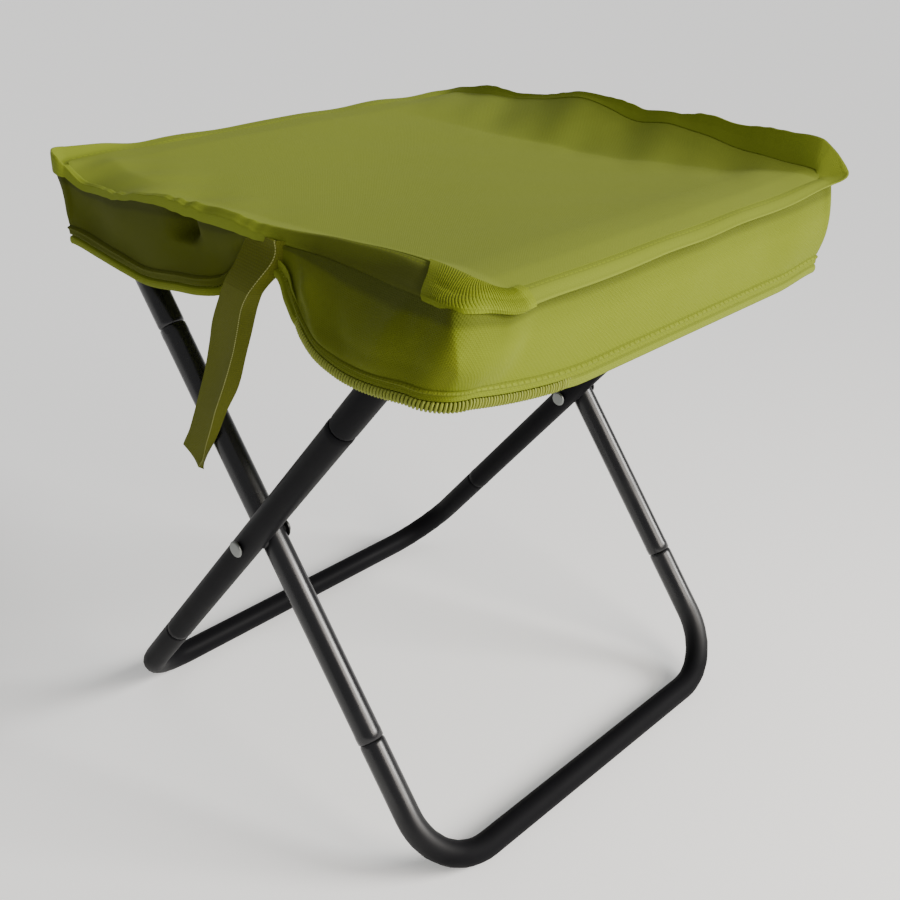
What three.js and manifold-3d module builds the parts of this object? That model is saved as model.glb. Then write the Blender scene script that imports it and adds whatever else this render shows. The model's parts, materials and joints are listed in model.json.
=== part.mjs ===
// Folding stool with a zip-edged fabric cover.
// Two loops of steel tube cross at a pair of rivets and open into an X. A hem round each top bar carries
// half of the seat sling, and a cover of two halves lies over it, with walls that hang down outside the legs
// and a zip along their lower edge. A strap hangs from the fold between the halves.
// Millimetres, +Z up, +Y along the bars and away from the strap. Loop A has its foot at -X and its top bar
// at +X. Loop B crosses it the other way and lies one tube further along +Y.

import * as THREE from 'three';
import { mergeVertices } from 'three/addons/utils/BufferGeometryUtils.js';
import Module from 'manifold-3d';

const wasm = await Module();
wasm.setup();

// Tube frame
const tubeDiameter = 16;
const tubeWall = 1.2;
const tubeSides = 14;
const loopWidth = 289;
const legAngle = THREE.MathUtils.degToRad(51.2);
const footToPivot = 224;
const pivotToTopBar = 225.5;
const footBendRadius = 42;
const topBendRadius = 44;
const bendSteps = 5;
const pivotToFootJoint = 133;
const pivotToTopJoint = 133;
const spigotLength = 22;
const spigotTaper = 3;

// Pivots
const rivetDiameter = 6;
const rivetHeadDiameter = 9.4;
const rivetHeadHeight = 1.8;
const rivetTailDiameter = 8.6;
const rivetTailHeight = 1.5;
const washerDiameter = 13;
const washerThickness = 2.2;
const tailWasherDiameter = 12;
const tailWasherThickness = 1;
const pivotFlatDepth = 1.2;
const pivotFlatLength = 15;
const pivotFlatEase = 6;
const roundSides = 20;

// Clearances
const gap = 0.3;
const fitClearance = 0.35;
const cutOverrun = 2;

// Fabric
const fabricThickness = 2.2;
const wallThickness = 2;
const slingThickness = 1.6;
const slingLength = 182;
const slingSag = 9;

// Seat panel: how far it reaches past the top bars, and past the loops at both ends
const coverPastBars = 8.7;
const coverPastNearEnd = 7.5;
const coverPastFarEnd = 25.5;
const nearDrawIn = 15;
const coverCornerRadius = 13;
const nearDroopLength = 32;
const nearDroop = { left: 9, right: 5 };
const farRiseLength = { left: 65, right: 20 };
const farRise = 19;
const farRiseShares = [0.2, 0.5, 0.75, 1, 1, 0.75, 0.55, 0.25, 0];

// Rim band, the folded edge that stands out round the panel
const rimThickness = 2.2;
const rimWidth = 16;
const rimCornerTilts = { left: { near: 48, far: 60 }, right: { near: -52, far: 66 } };
const rimTilts = {
  left: { near: [-70, -70, -66, -60, -30], side: [30, 22, 22, 22, 30], far: [66, 74, 78, 78, 80] },
  right: { near: [-72, -66, -60, -56, -54], side: [-46, -42, -36, -34, 20], far: [72, 76, 78, 80, 80] },
};
const rimCornerShares = { left: { near: 0.8, far: 0.4 }, right: { near: 0.66, far: 0.9 } };
const rimWidthShares = {
  left: { near: [0.42, 0.42, 0.42, 0.44, 0.6], side: [0.5, 0.45, 0.45, 0.42, 0.4], far: [0.4, 0.35, 0.3, 0.25, 0.2] },
  right: { near: [0.4, 0.45, 0.5, 0.56, 0.6], side: [0.6, 0.56, 0.52, 0.5, 0.6], far: [0.95, 1, 0.9, 0.5, 0.25] },
};

// Walls and their lower edge
const wallInset = 2.2;
const farWallInset = -1.4;
const wallBow = 3;
const wallFullDrop = 40;
const wallFootRadius = 9;
const wallDrop = 66;
const nearFootInset = 12;
const farFootInset = 15;
const wallFootPastPanel = { left: 2, right: -2 };
const nearCornerLift = { left: 20, right: 14 };
const nearBottomLift = { left: 11, right: 11 };
const farLift = { left: 4, right: 4 };
const nearFlare = { left: 15, right: 24 };
const farFlare = { left: 21, right: 21 };
const wallOutShares = {
  left: [0, 0.15, 0.6, 0.75, 0.75, 0.85, 1],
  right: [0, 0.1, 0.5, 0.95, 1, 0.95, 0.55],
  far: [0, 0.3, 0.8, 1, 1, 1, 1],
};
const sideLiftLength = { left: 37, right: 97.5 };
const notchHalfWidth = 18;
const notchLength = { left: 40, right: 82, far: 82 };
const notchRise = { left: 26, right: 33, far: 36 };

// Zip
const hemHeight = 7;
const tapeThickness = 1;
const tapeWidth = 9;
const coilDiameter = 3;
const coilSides = 6;
const sliderLength = 11;
const sliderWidth = 9.4;
const sliderHeight = 9;
const sliderPark = 118;
const bridgeDiameter = 1.4;
const bridgeStandOff = 2.4;
const bridgeLength = 9;
const pullThickness = 1.6;
const pullWidth = 5.4;
const pullLength = 25;

// Strap
const strapThickness = 2.4;
const strapLeftWidth = 23;
const strapRightWidth = 15;
const strapWidthShares = [1, 0.98, 0.95, 0.9, 0.86, 0.84, 0.84];
const strapFoldAngle = THREE.MathUtils.degToRad(28);
const strapDrop = 130;
const strapTipLength = 22;
const strapLean = THREE.MathUtils.degToRad(21.5);
const strapStandOff = 1;
const strapRootX = 1;
const strapTabDrop = 22;
const strapSewnWidth = 34;

// Counts of steps along each form
const panelColumns = 9;
const panelRows = 18;
const nearSteps = 11;
const cornerSteps = 4;
const sideSteps = 8;
const wallRows = 4;

const colours = {
  tubeSatin: { color: 0x1c1c20, roughness: 0.42, metalness: 0.55 },
  tubeGloss: { color: 0x101012, roughness: 0.25, metalness: 0.6 },
  zinc: { color: 0xa8aaa6, roughness: 0.4, metalness: 0.9 },
  blackSteel: { color: 0x18181a, roughness: 0.5, metalness: 0.5 },
  nylon: { color: 0x1a1a1a, roughness: 0.6, metalness: 0 },
  canvas: { color: 0x82873a, roughness: 0.85, metalness: 0 },
  canvasSide: { color: 0x8f9a48, roughness: 0.85, metalness: 0 },
  binding: { color: 0x8a9044, roughness: 0.85, metalness: 0 },
  sling: { color: 0x4a4d22, roughness: 0.9, metalness: 0 },
  zipTape: { color: 0x707526, roughness: 0.85, metalness: 0 },
  zipCoil: { color: 0x9aa050, roughness: 0.5, metalness: 0 },
  strap: { color: 0x5c6018, roughness: 0.85, metalness: 0 },
};

// Worked out from the sizes above
const tubeRadius = tubeDiameter / 2;
const pivotHeight = tubeRadius + footToPivot * Math.sin(legAngle);
const footX = footToPivot * Math.cos(legAngle);
const topBarX = pivotToTopBar * Math.cos(legAngle);
const coverHalfLength = topBarX + tubeRadius + coverPastBars;
const coverNearEdge = loopWidth / 2 + coverPastNearEnd;
const coverFarEdge = loopWidth / 2 + coverPastFarEnd;
const nearCrease = coverNearEdge - nearDroopLength;
const nearWallFoot = coverNearEdge - nearFootInset;
const farWallFoot = coverFarEdge - farFootInset;
const topBarHeight = pivotHeight + pivotToTopBar * Math.sin(legAngle);
const loopOffset = tubeDiameter - 2 * pivotFlatDepth + washerThickness + 2 * gap;
const hemInnerRadius = tubeRadius / Math.cos(Math.PI / tubeSides) + fitClearance;
const hemOuterRadius = hemInnerRadius + slingThickness;
const seatTop = topBarHeight + hemOuterRadius + gap + fabricThickness;
const wallFootHeight = seatTop - wallDrop;
const stool = new THREE.Group();

function addPiece(name, geometry, look) {
  const piece = new THREE.Mesh(geometry, new THREE.MeshStandardMaterial(look));
  piece.name = name;
  stool.add(piece);
  return piece;
}

// Small helpers

const lerp = THREE.MathUtils.lerp;
const clamp01 = (t) => Math.min(1, Math.max(0, t));
const vec = (x, y, z) => new THREE.Vector3(x, y, z);

// A smooth curve through evenly spaced shares, read at t from 0 to 1.
function alongShares(shares, t) {
  const place = clamp01(t) * (shares.length - 1);
  const i = Math.min(Math.floor(place), shares.length - 2);
  const at = (k) => shares[Math.min(shares.length - 1, Math.max(0, k))];
  return catmull(at(i - 1), at(i), at(i + 1), at(i + 2), place - i);
}

function catmull(a, b, c, d, t) {
  return b + 0.5 * t * (c - a + t * (2 * a - 5 * b + 4 * c - d + t * (3 * (b - c) + d - a)));
}

function signedVolume(points, triangles) {
  let sum = 0;
  for (let i = 0; i < triangles.length; i += 3) {
    const [a, b, c] = [points[triangles[i]], points[triangles[i + 1]], points[triangles[i + 2]]];
    sum += a.dot(new THREE.Vector3().crossVectors(b, c));
  }
  return sum / 6;
}

function solidFrom(points, triangles) {
  if (signedVolume(points, triangles) < 0) triangles.reverse();
  const geometry = new THREE.BufferGeometry().setFromPoints(points);
  geometry.setIndex(triangles);
  return geometry;
}

// Joins rings of equal counts into one closed body. With a bore the rings run out along the outside and
// back along the inside, so the last ring meets the first. Without one, flat ends close the body.
function loftRings(rings, { bore = false } = {}) {
  const count = rings[0].length;
  const points = rings.flat();
  const triangles = [];
  const spans = bore ? rings.length : rings.length - 1;
  for (let i = 0; i < spans; i++) {
    const here = i * count;
    const next = ((i + 1) % rings.length) * count;
    for (let j = 0; j < count; j++) {
      const k = (j + 1) % count;
      triangles.push(here + j, here + k, next + k, here + j, next + k, next + j);
    }
  }
  if (!bore) {
    const last = (rings.length - 1) * count;
    for (const [i, j, k] of capTriangles(rings[0])) triangles.push(k, j, i);
    for (const [i, j, k] of capTriangles(rings.at(-1))) triangles.push(last + i, last + j, last + k);
  }
  return solidFrom(points, triangles);
}

// An end face. A strip's ring runs along one side and back along the other, so its end is a row of quads.
function capTriangles(ring) {
  const faces = [];
  const half = ring.length / 2;
  for (let j = 0; j < half - 1; j++) {
    const across = ring.length - 1 - j;
    faces.push([j, j + 1, across - 1], [j, across - 1, across]);
  }
  return faces;
}

function toManifold(geometry) {
  const bare = geometry.clone();
  bare.deleteAttribute('normal');
  bare.deleteAttribute('uv');
  const merged = mergeVertices(bare, 1e-4);
  return new wasm.Manifold(new wasm.Mesh({
    numProp: 3,
    vertProperties: merged.attributes.position.array,
    triVerts: new Uint32Array(merged.index.array),
  }));
}

function fromManifold(solid) {
  const mesh = solid.getMesh();
  const geometry = new THREE.BufferGeometry();
  geometry.setAttribute('position', new THREE.BufferAttribute(mesh.vertProperties, 3));
  geometry.setIndex(new THREE.BufferAttribute(mesh.triVerts, 1));
  return geometry;
}

// Tube loops. A loop lies in a plane that leans by the leg's angle. Points in it are given by y along the
// bars and u up along the leg from the pivot. Loop A leans towards +X going up, and loop B towards -X.

function loopFrame(side) {
  const up = vec(side * Math.cos(legAngle), 0, Math.sin(legAngle));
  const normal = vec(-side * Math.sin(legAngle), 0, Math.cos(legAngle));
  const place = (y, u) => vec(0, y, pivotHeight).addScaledVector(up, u);
  return { up, normal, place };
}

// A ring of points round a centre. phase turns it, so that one flat of the many faces where it has to.
function tubeRing(centre, across, normal, radius, phase, limit = Infinity) {
  const corner = radius / Math.cos(Math.PI / tubeSides);
  return Array.from({ length: tubeSides }, (_, i) => {
    const angle = phase + ((i + 0.5) * 2 * Math.PI) / tubeSides;
    const out = Math.min(corner * Math.cos(angle), limit);
    return centre.clone().addScaledVector(across, out).addScaledVector(normal, corner * Math.sin(angle));
  });
}

// The U at a loop's foot or top: a bar, two bends and two stubs that end in reduced spigots.
function bendPiece(side, nearY, reach, radius, stubEnd) {
  const { up, normal, place } = loopFrame(side);
  const towards = Math.sign(reach);
  const farY = nearY + loopWidth;
  const spigotRadius = tubeRadius - tubeWall - fitClearance;
  const shoulder = stubEnd + towards * gap;
  const spigotEnd = shoulder - towards * spigotLength;
  const stations = [
    { y: nearY, u: spigotEnd, turn: 0, outer: spigotRadius },
    { y: nearY, u: shoulder - towards * gap, turn: 0, outer: spigotRadius },
    { y: nearY, u: shoulder, turn: 0, outer: tubeRadius },
    { y: nearY, u: shoulder + towards * spigotTaper, turn: 0, outer: tubeRadius },
  ];
  for (let i = 0; i <= bendSteps; i++) {
    const turn = (i / bendSteps) * (Math.PI / 2);
    stations.push({
      y: nearY + radius * (1 - Math.cos(turn)),
      u: reach - towards * radius * (1 - Math.sin(turn)),
      turn,
      outer: tubeRadius,
    });
  }
  const mirrored = stations.map((s) => ({ ...s, y: nearY + farY - s.y, turn: Math.PI - s.turn })).reverse();
  const path = [...stations, ...mirrored];
  // At the foot a flat of the section has to face the floor.
  const floorPhase = reach < 0 ? Math.PI / 2 - legAngle : 0;
  const ring = (s, inset) => {
    const across = vec(0, -Math.cos(s.turn), 0).addScaledVector(up, towards * Math.sin(s.turn));
    return tubeRing(place(s.y, s.u), across, normal, s.outer - inset, -floorPhase);
  };
  const outside = path.map((s) => ring(s, 0));
  const inside = path.map((s) => ring(s, tubeWall)).reverse();
  return loftRings([...outside, ...inside], { bore: true });
}

// A straight leg tube with a pressed flat and a rivet hole at the pivot. The flat faces the other loop.
function legPiece(side, y, flatSide) {
  const { normal, place } = loopFrame(side);
  const half = pivotFlatLength / 2;
  const stops = [-pivotToFootJoint, -half - pivotFlatEase, -half, half, half + pivotFlatEase, pivotToTopJoint];
  const across = vec(0, flatSide, 0);
  const ring = (u, inset) => {
    const pressed = Math.abs(u) <= half + cutOverrun;
    const limit = tubeRadius - (pressed ? pivotFlatDepth : 0) - inset;
    return tubeRing(place(y, u), across, normal, tubeRadius - inset, 0, limit);
  };
  const outside = stops.map((u) => ring(u, 0));
  const inside = stops.map((u) => ring(u, tubeWall)).reverse();
  const tube = toManifold(loftRings([...outside, ...inside], { bore: true }));
  const drill = new THREE.CylinderGeometry(
    rivetDiameter / 2 + gap, rivetDiameter / 2 + gap, tubeDiameter + 2 * cutOverrun, roundSides);
  drill.translate(0, y, pivotHeight);
  return fromManifold(tube.subtract(toManifold(drill)));
}

function turnedPiece(profile, y) {
  const geometry = new THREE.LatheGeometry(profile.map(([r, h]) => new THREE.Vector2(r, h)), roundSides);
  geometry.translate(0, y, pivotHeight);
  return closedTurning(geometry);
}

function closedTurning(geometry) {
  geometry.deleteAttribute('normal');
  geometry.deleteAttribute('uv');
  const merged = mergeVertices(geometry, 1e-4);
  return fromManifold(toManifold(merged));
}

const loopAY = -(loopWidth + loopOffset) / 2;
const loopBY = loopAY + loopOffset;
const loops = [
  { name: 'a', side: 1, y: loopAY, flatSide: 1, look: colours.tubeSatin },
  { name: 'b', side: -1, y: loopBY, flatSide: -1, look: colours.tubeGloss },
];
for (const { name, side, y, flatSide, look } of loops) {
  addPiece(`foot_bend_${name}`, bendPiece(side, y, -footToPivot, footBendRadius, -pivotToFootJoint), look);
  addPiece(`top_bend_${name}`, bendPiece(side, y, pivotToTopBar, topBendRadius, pivotToTopJoint), look);
  addPiece(`leg_tube_${name}_near`, legPiece(side, y, flatSide), look);
  addPiece(`leg_tube_${name}_far`, legPiece(side, y + loopWidth, flatSide), look);
}

// Pivots: a domed rivet from loop A's outer face through both tubes, a nylon washer between the flats,
// and a steel washer under the formed tail.
const corner = tubeRadius;
const washerBore = rivetDiameter / 2 + gap;
for (const [place, y] of [['near', loopAY], ['far', loopAY + loopWidth]]) {
  const headFoot = -corner - gap;
  const tailWasherFoot = loopOffset + corner + gap;
  const tailFoot = tailWasherFoot + tailWasherThickness + gap;
  const [shank, head, tail] = [rivetDiameter / 2, rivetHeadDiameter / 2, rivetTailDiameter / 2];
  const shoulderRadius = rivetHeadDiameter / 3;
  addPiece(`pivot_rivet_${place}`, turnedPiece([
    [0, headFoot - rivetHeadHeight],
    [shoulderRadius, headFoot - rivetHeadHeight + rivetHeadHeight / 6],
    [head, headFoot - rivetHeadHeight / 3],
    [head, headFoot],
    [shank, headFoot],
    [shank, tailFoot],
    [tail, tailFoot],
    [tail, tailFoot + rivetTailHeight / 2],
    [tail / 2, tailFoot + rivetTailHeight],
    [0, tailFoot + rivetTailHeight],
  ], y), colours.zinc);
  const washerFoot = (loopOffset - washerThickness) / 2;
  addPiece(`pivot_washer_${place}`, turnedPiece([
    [washerBore, washerFoot],
    [washerDiameter / 2, washerFoot],
    [washerDiameter / 2, washerFoot + washerThickness],
    [washerBore, washerFoot + washerThickness],
    [washerBore, washerFoot],
  ], y), colours.nylon);
  addPiece(`tail_washer_${place}`, turnedPiece([
    [washerBore, tailWasherFoot],
    [tailWasherDiameter / 2, tailWasherFoot],
    [tailWasherDiameter / 2, tailWasherFoot + tailWasherThickness],
    [washerBore, tailWasherFoot + tailWasherThickness],
    [washerBore, tailWasherFoot],
  ], y), colours.blackSteel);
}

// Seat sling: one half hangs on each top bar in a sewn hem, and the halves meet at the fold.

function sagAt(x) {
  return slingSag * Math.max(0, 1 - (x / topBarX) ** 2);
}

function slingPiece(side) {
  const steps = 6;
  const sheetTop = (x) => topBarHeight + hemOuterRadius - sagAt(x);
  const outline = new THREE.Shape();
  const xs = Array.from({ length: steps + 1 }, (_, i) => lerp(gap / 2, topBarX, i / steps));
  outline.moveTo(xs[0], sheetTop(xs[0]));
  for (const x of xs.slice(1)) outline.lineTo(x, sheetTop(x));
  const turns = 14;
  const lapAngle = Math.asin(1 - slingThickness / hemOuterRadius);
  for (let i = 1; i <= turns; i++) {
    const angle = Math.PI / 2 - (i / turns) * (1.5 * Math.PI + lapAngle);
    outline.lineTo(topBarX + hemOuterRadius * Math.cos(angle), topBarHeight + hemOuterRadius * Math.sin(angle));
  }
  for (const x of xs.slice(0, -1).reverse()) outline.lineTo(x, sheetTop(x) - slingThickness);
  outline.closePath();
  const bore = new THREE.Path();
  const boreSides = roundSides;
  for (let i = 0; i < boreSides; i++) {
    const angle = (i / boreSides) * 2 * Math.PI;
    const r = hemInnerRadius;
    const at = [topBarX + r * Math.cos(angle), topBarHeight + r * Math.sin(angle)];
    if (i === 0) bore.moveTo(...at);
    else bore.lineTo(...at);
  }
  outline.holes.push(bore);
  const geometry = new THREE.ExtrudeGeometry(outline, { depth: slingLength, bevelEnabled: false, steps: 1 });
  geometry.rotateX(Math.PI / 2);
  geometry.translate(0, slingLength / 2, 0);
  if (side < 0) geometry.rotateZ(Math.PI);
  return closedTurning(geometry);
}

addPiece('sling_right', slingPiece(1), colours.sling);
addPiece('sling_left', slingPiece(-1), colours.sling);

// Seat panel

function panelNearY(x) {
  return -(coverNearEdge - nearDrawIn * (1 - Math.min(1, Math.abs(x) / coverHalfLength)));
}

function sideShare(x) {
  return clamp01((x / coverHalfLength + 1) / 2);
}

// The panel's upper surface: a sling between the bars, drooping in front of the near crease and rising
// behind the far one.
function panelHeight(x, y) {
  const across = sideShare(x);
  const droopLength = coverNearEdge - nearCrease;
  const droop = lerp(nearDroop.left, nearDroop.right, across);
  const nearShare = clamp01((-nearCrease - y) / droopLength);
  const crease = coverFarEdge - lerp(farRiseLength.left, farRiseLength.right, across);
  const farShare = clamp01((y - crease) / (coverFarEdge - crease));
  const rise = farRise * alongShares(farRiseShares, across);
  return seatTop - sagAt(x) - droop * nearShare ** 1.4 + rise * farShare ** 1.5;
}

// How far out the panel reaches at a place along y, with rounded corners.
function panelReach(y, nearEnd, farEnd, reach, radius) {
  const near = Math.max(0, nearEnd + radius - y);
  const far = Math.max(0, y - (farEnd - radius));
  const into = Math.min(radius, Math.max(near, far));
  return reach - radius + Math.sqrt(radius * radius - into * into);
}

function panelPiece(side) {
  const rows = [];
  const cornerRows = 4;
  const nearEnd = -coverNearEdge;
  for (let j = 0; j <= panelRows; j++) {
    const ends = (1 - Math.cos((Math.PI * j) / panelRows)) / 2;
    const v = lerp(j / panelRows, ends, 1 / cornerRows + 0.5);
    const row = [];
    for (let i = 0; i <= panelColumns; i++) {
      const share = i / panelColumns;
      const yFlat = lerp(nearEnd, coverFarEdge, v);
      const edge = panelReach(yFlat, nearEnd, coverFarEdge, coverHalfLength, coverCornerRadius);
      const x = lerp(gap / 2, edge, share);
      const pull = (1 - v) ** 3;
      const y = lerp(yFlat, yFlat + panelNearY(x) - nearEnd, pull);
      row.push(vec(side * x, y, panelHeight(side * x, y)));
    }
    rows.push(row);
  }
  return sheetSolid(rows, vec(0, 0, -fabricThickness));
}

// A closed sheet from a grid of points and the same grid moved by its thickness.
function sheetSolid(rows, offset) {
  const columns = rows[0].length;
  const top = rows.flat();
  const points = [...top, ...top.map((p) => p.clone().add(offset))];
  const under = top.length;
  const triangles = [];
  const quad = (a, b, c, d) => triangles.push(a, b, c, a, c, d);
  for (let j = 0; j < rows.length - 1; j++) {
    for (let i = 0; i < columns - 1; i++) {
      const a = j * columns + i;
      quad(a, a + 1, a + columns + 1, a + columns);
      quad(under + a, under + a + columns, under + a + columns + 1, under + a + 1);
    }
  }
  const last = (rows.length - 1) * columns;
  for (let i = 0; i < columns - 1; i++) {
    quad(i + 1, i, under + i, under + i + 1);
    quad(last + i, last + i + 1, under + last + i + 1, under + last + i);
  }
  for (let j = 0; j < rows.length - 1; j++) {
    const a = j * columns;
    const b = a + columns - 1;
    quad(a, a + columns, under + a + columns, under + a);
    quad(b + columns, b, under + b, under + b + columns);
  }
  return solidFrom(points, triangles);
}

addPiece('seat_panel_right', panelPiece(1), colours.canvas);
addPiece('seat_panel_left', panelPiece(-1), colours.canvas);

// Paths round one half of the cover, from the fold at the near end, out round the side, to the fold at the
// far end. Each station has its place and the direction straight out of the cover there.

// The panel's edge in plan, moved out by a distance.
function rimPath(side, out, start) {
  const radius = coverCornerRadius;
  const stations = [];
  const add = (x, y, angle, leg, share) => {
    const outward = vec(side * Math.sin(angle), -Math.cos(angle), 0);
    const edge = vec(side * x, y, panelHeight(side * x, y));
    stations.push({ p: edge.addScaledVector(outward, out), outward, leg, share });
  };
  const cornerX = coverHalfLength - radius;
  for (let i = 0; i < nearSteps; i++) {
    const x = lerp(start, cornerX, i / nearSteps);
    add(x, panelNearY(x), 0, 'near', i / nearSteps);
  }
  const nearCornerY = -coverNearEdge;
  for (let i = 0; i <= cornerSteps; i++) {
    const turn = (i / cornerSteps) * (Math.PI / 2);
    const x = cornerX + radius * Math.sin(turn);
    const lift = panelNearY(cornerX) - nearCornerY;
    const y = nearCornerY + radius * (1 - Math.cos(turn)) + lift * (1 - i / cornerSteps);
    add(x, y, turn, 'nearCorner', i / cornerSteps);
  }
  for (let i = 1; i < sideSteps; i++) {
    const y = lerp(nearCornerY + radius, coverFarEdge - radius, i / sideSteps);
    add(coverHalfLength, y, Math.PI / 2, 'side', i / sideSteps);
  }
  for (let i = 0; i <= cornerSteps; i++) {
    const turn = (i / cornerSteps) * (Math.PI / 2);
    const x = cornerX + radius * Math.cos(turn);
    add(x, coverFarEdge - radius * (1 - Math.sin(turn)), Math.PI / 2 + turn, 'farCorner', i / cornerSteps);
  }
  for (let i = 1; i <= nearSteps; i++) {
    add(lerp(cornerX, start, i / nearSteps), coverFarEdge, Math.PI, 'far', i / nearSteps);
  }
  return stations;
}

// A value at a station: read along the straight stretches, and eased through each corner's own value.
function alongRim(stretches, corners, { leg, share }) {
  if (stretches[leg]) return alongShares(stretches[leg], share);
  const soft = (t) => t * t * (3 - 2 * t);
  const near = leg === 'nearCorner';
  const before = near ? stretches.near.at(-1) : stretches.side.at(-1);
  const after = near ? stretches.side[0] : stretches.far[0];
  const corner = near ? corners.near : corners.far;
  if (share < 0.5) return lerp(before, corner, soft(2 * share));
  return lerp(corner, after, soft(2 * share - 1));
}

function rimPiece(side) {
  const half = side > 0 ? 'right' : 'left';
  const path = rimPath(side, gap + rimThickness / 2, gap / 2);
  const rings = path.map((station) => {
    const tilt = THREE.MathUtils.degToRad(alongRim(rimTilts[half], rimCornerTilts[half], station));
    const width = rimWidth * alongRim(rimWidthShares[half], rimCornerShares[half], station);
    const { outward } = station;
    const along = outward.clone().multiplyScalar(Math.cos(tilt)).add(vec(0, 0, Math.sin(tilt)));
    const across = outward.clone().multiplyScalar(-Math.sin(tilt)).add(vec(0, 0, Math.cos(tilt)));
    const root = station.p.clone().add(vec(0, 0, -fabricThickness / 2));
    const at = (a, c) => root.clone().addScaledVector(along, a).addScaledVector(across, c);
    const edge = rimThickness / 2;
    return [at(0, edge), at(width, edge), at(width, -edge), at(0, -edge)];
  });
  return loftRings(rings);
}

addPiece('rim_band_right', rimPiece(1), colours.binding);
addPiece('rim_band_left', rimPiece(-1), colours.binding);

// Walls. The zip edge is the lowest line of the cover: it drops from the fold in a rounded notch, runs along
// the end, round the corner, and along the side.

function zipEdge(side) {
  const half = side > 0 ? 'right' : 'left';
  const reach = coverHalfLength + wallFootPastPanel[half];
  const [near, far, nearBottom] = [nearCornerLift, farLift, nearBottomLift].map((l) => wallFootHeight + l[half]);
  const radius = wallFootRadius;
  const stations = [];
  const add = (x, y, z, angle, leg) => {
    const outward = vec(side * Math.sin(angle), -Math.cos(angle), 0);
    stations.push({ p: vec(side * x, y, z), outward, leg });
  };
  const endStations = (notch, bottom, corner, yAt, angle, leg) => {
    const list = [];
    const notchSteps = Math.round(nearSteps * 0.6);
    for (let i = 0; i <= notchSteps; i++) {
      const a = (Math.PI / 2) * (1 - i / notchSteps);
      const x = notchHalfWidth + notchLength[notch] * (1 - Math.sin(a));
      list.push([x, bottom + notchRise[notch] * (1 - Math.cos(a))]);
    }
    const from = notchHalfWidth + notchLength[notch];
    const rest = nearSteps - notchSteps;
    for (let i = 1; i < rest; i++) {
      const t = i / rest;
      list.push([lerp(from, reach - radius, t), lerp(bottom, corner, t ** 2)]);
    }
    return list.map(([x, z]) => [x, yAt(x), z, angle, leg]);
  };
  const nearY = (x) => -(nearWallFoot + nearFlare[half] * alongShares(wallOutShares[half], x / reach));
  const farY = (x) => farWallFoot + farFlare[half] * alongShares(wallOutShares.far, x / reach);
  for (const station of endStations(half, nearBottom, near, nearY, 0, 'near')) add(...station);
  const nearEnd = nearY(reach - radius);
  for (let i = 0; i <= cornerSteps; i++) {
    const turn = (i / cornerSteps) * (Math.PI / 2);
    const x = reach - radius * (1 - Math.sin(turn));
    add(x, nearEnd + radius * (1 - Math.cos(turn)), near, turn, 'nearCorner');
  }
  const farEnd = farY(reach - radius);
  const sideLiftFoot = nearEnd + radius + sideLiftLength[half];
  for (let i = 1; i < sideSteps; i++) {
    const y = lerp(nearEnd + radius, farEnd - radius, i / sideSteps);
    const lift = clamp01((sideLiftFoot - y) / sideLiftLength[half]);
    const farRaise = clamp01((y - sliderPark - sliderLength) / (farEnd - radius - sliderPark - sliderLength));
    const z = lerp(lerp(wallFootHeight, near, lift ** 2), far, farRaise);
    add(reach, y, z, Math.PI / 2, 'side');
  }
  for (let i = 0; i <= cornerSteps; i++) {
    const turn = (i / cornerSteps) * (Math.PI / 2);
    const x = reach - radius * (1 - Math.cos(turn));
    add(x, farEnd - radius * (1 - Math.sin(turn)), far, Math.PI / 2 + turn, 'farCorner');
  }
  const farList = endStations('far', far, far, farY, Math.PI, 'far');
  for (const station of farList.reverse()) add(...station);
  return stations.map((station, i) => {
    const before = stations[Math.max(0, i - 1)].p;
    const after = stations[Math.min(stations.length - 1, i + 1)].p;
    const tangent = after.clone().sub(before).normalize();
    const inward = new THREE.Vector3().crossVectors(station.outward, tangent).multiplyScalar(side).normalize();
    return { ...station, tangent, inward };
  });
}

// Where a wall hangs from, under the panel just inside its edge, or at the far end just outside it.
function wallTops(side) {
  const start = notchHalfWidth + hemHeight + wallThickness;
  const inner = rimPath(side, -wallInset, start);
  const outer = rimPath(side, -farWallInset, start);
  const under = vec(0, 0, -fabricThickness - gap);
  return inner.map((station, i) => {
    const far = { farCorner: clamp01(2 * station.share), far: 1 }[station.leg] ?? 0;
    return station.p.clone().lerp(outer[i].p, far).add(under);
  });
}

// The points up a wall at one station, from its hem to its top.
function wallLine(side, i) {
  const { p, outward, inward } = zipEdges[side][i];
  const foot = p.clone().addScaledVector(inward, hemHeight);
  const top = wallTopLines[side][i];
  const bow = wallBow * clamp01((top.z - foot.z) / wallFullDrop) ** 2;
  return Array.from({ length: wallRows + 1 }, (_, k) => {
    const v = k / wallRows;
    return foot.clone().lerp(top, v).addScaledVector(outward, bow * Math.sin(Math.PI * v));
  });
}

// A stretch of wall between two stations. Its ends stop short of them by half a gap.
function wallPiece(side, from, to) {
  const half = wallThickness / 2;
  const rings = [];
  for (let i = from; i <= to; i++) {
    const { outward, tangent } = zipEdges[side][i];
    const line = wallLine(side, i);
    if (i === from && from > 0) line.forEach((q) => q.addScaledVector(tangent, gap / 2));
    if (i === to && to < zipEdges[side].length - 1) line.forEach((q) => q.addScaledVector(tangent, -gap / 2));
    const out = line.map((q) => q.clone().addScaledVector(outward, half));
    const back = line.map((q) => q.clone().addScaledVector(outward, -half)).reverse();
    rings.push([...out, ...back]);
  }
  return loftRings(rings);
}

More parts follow.
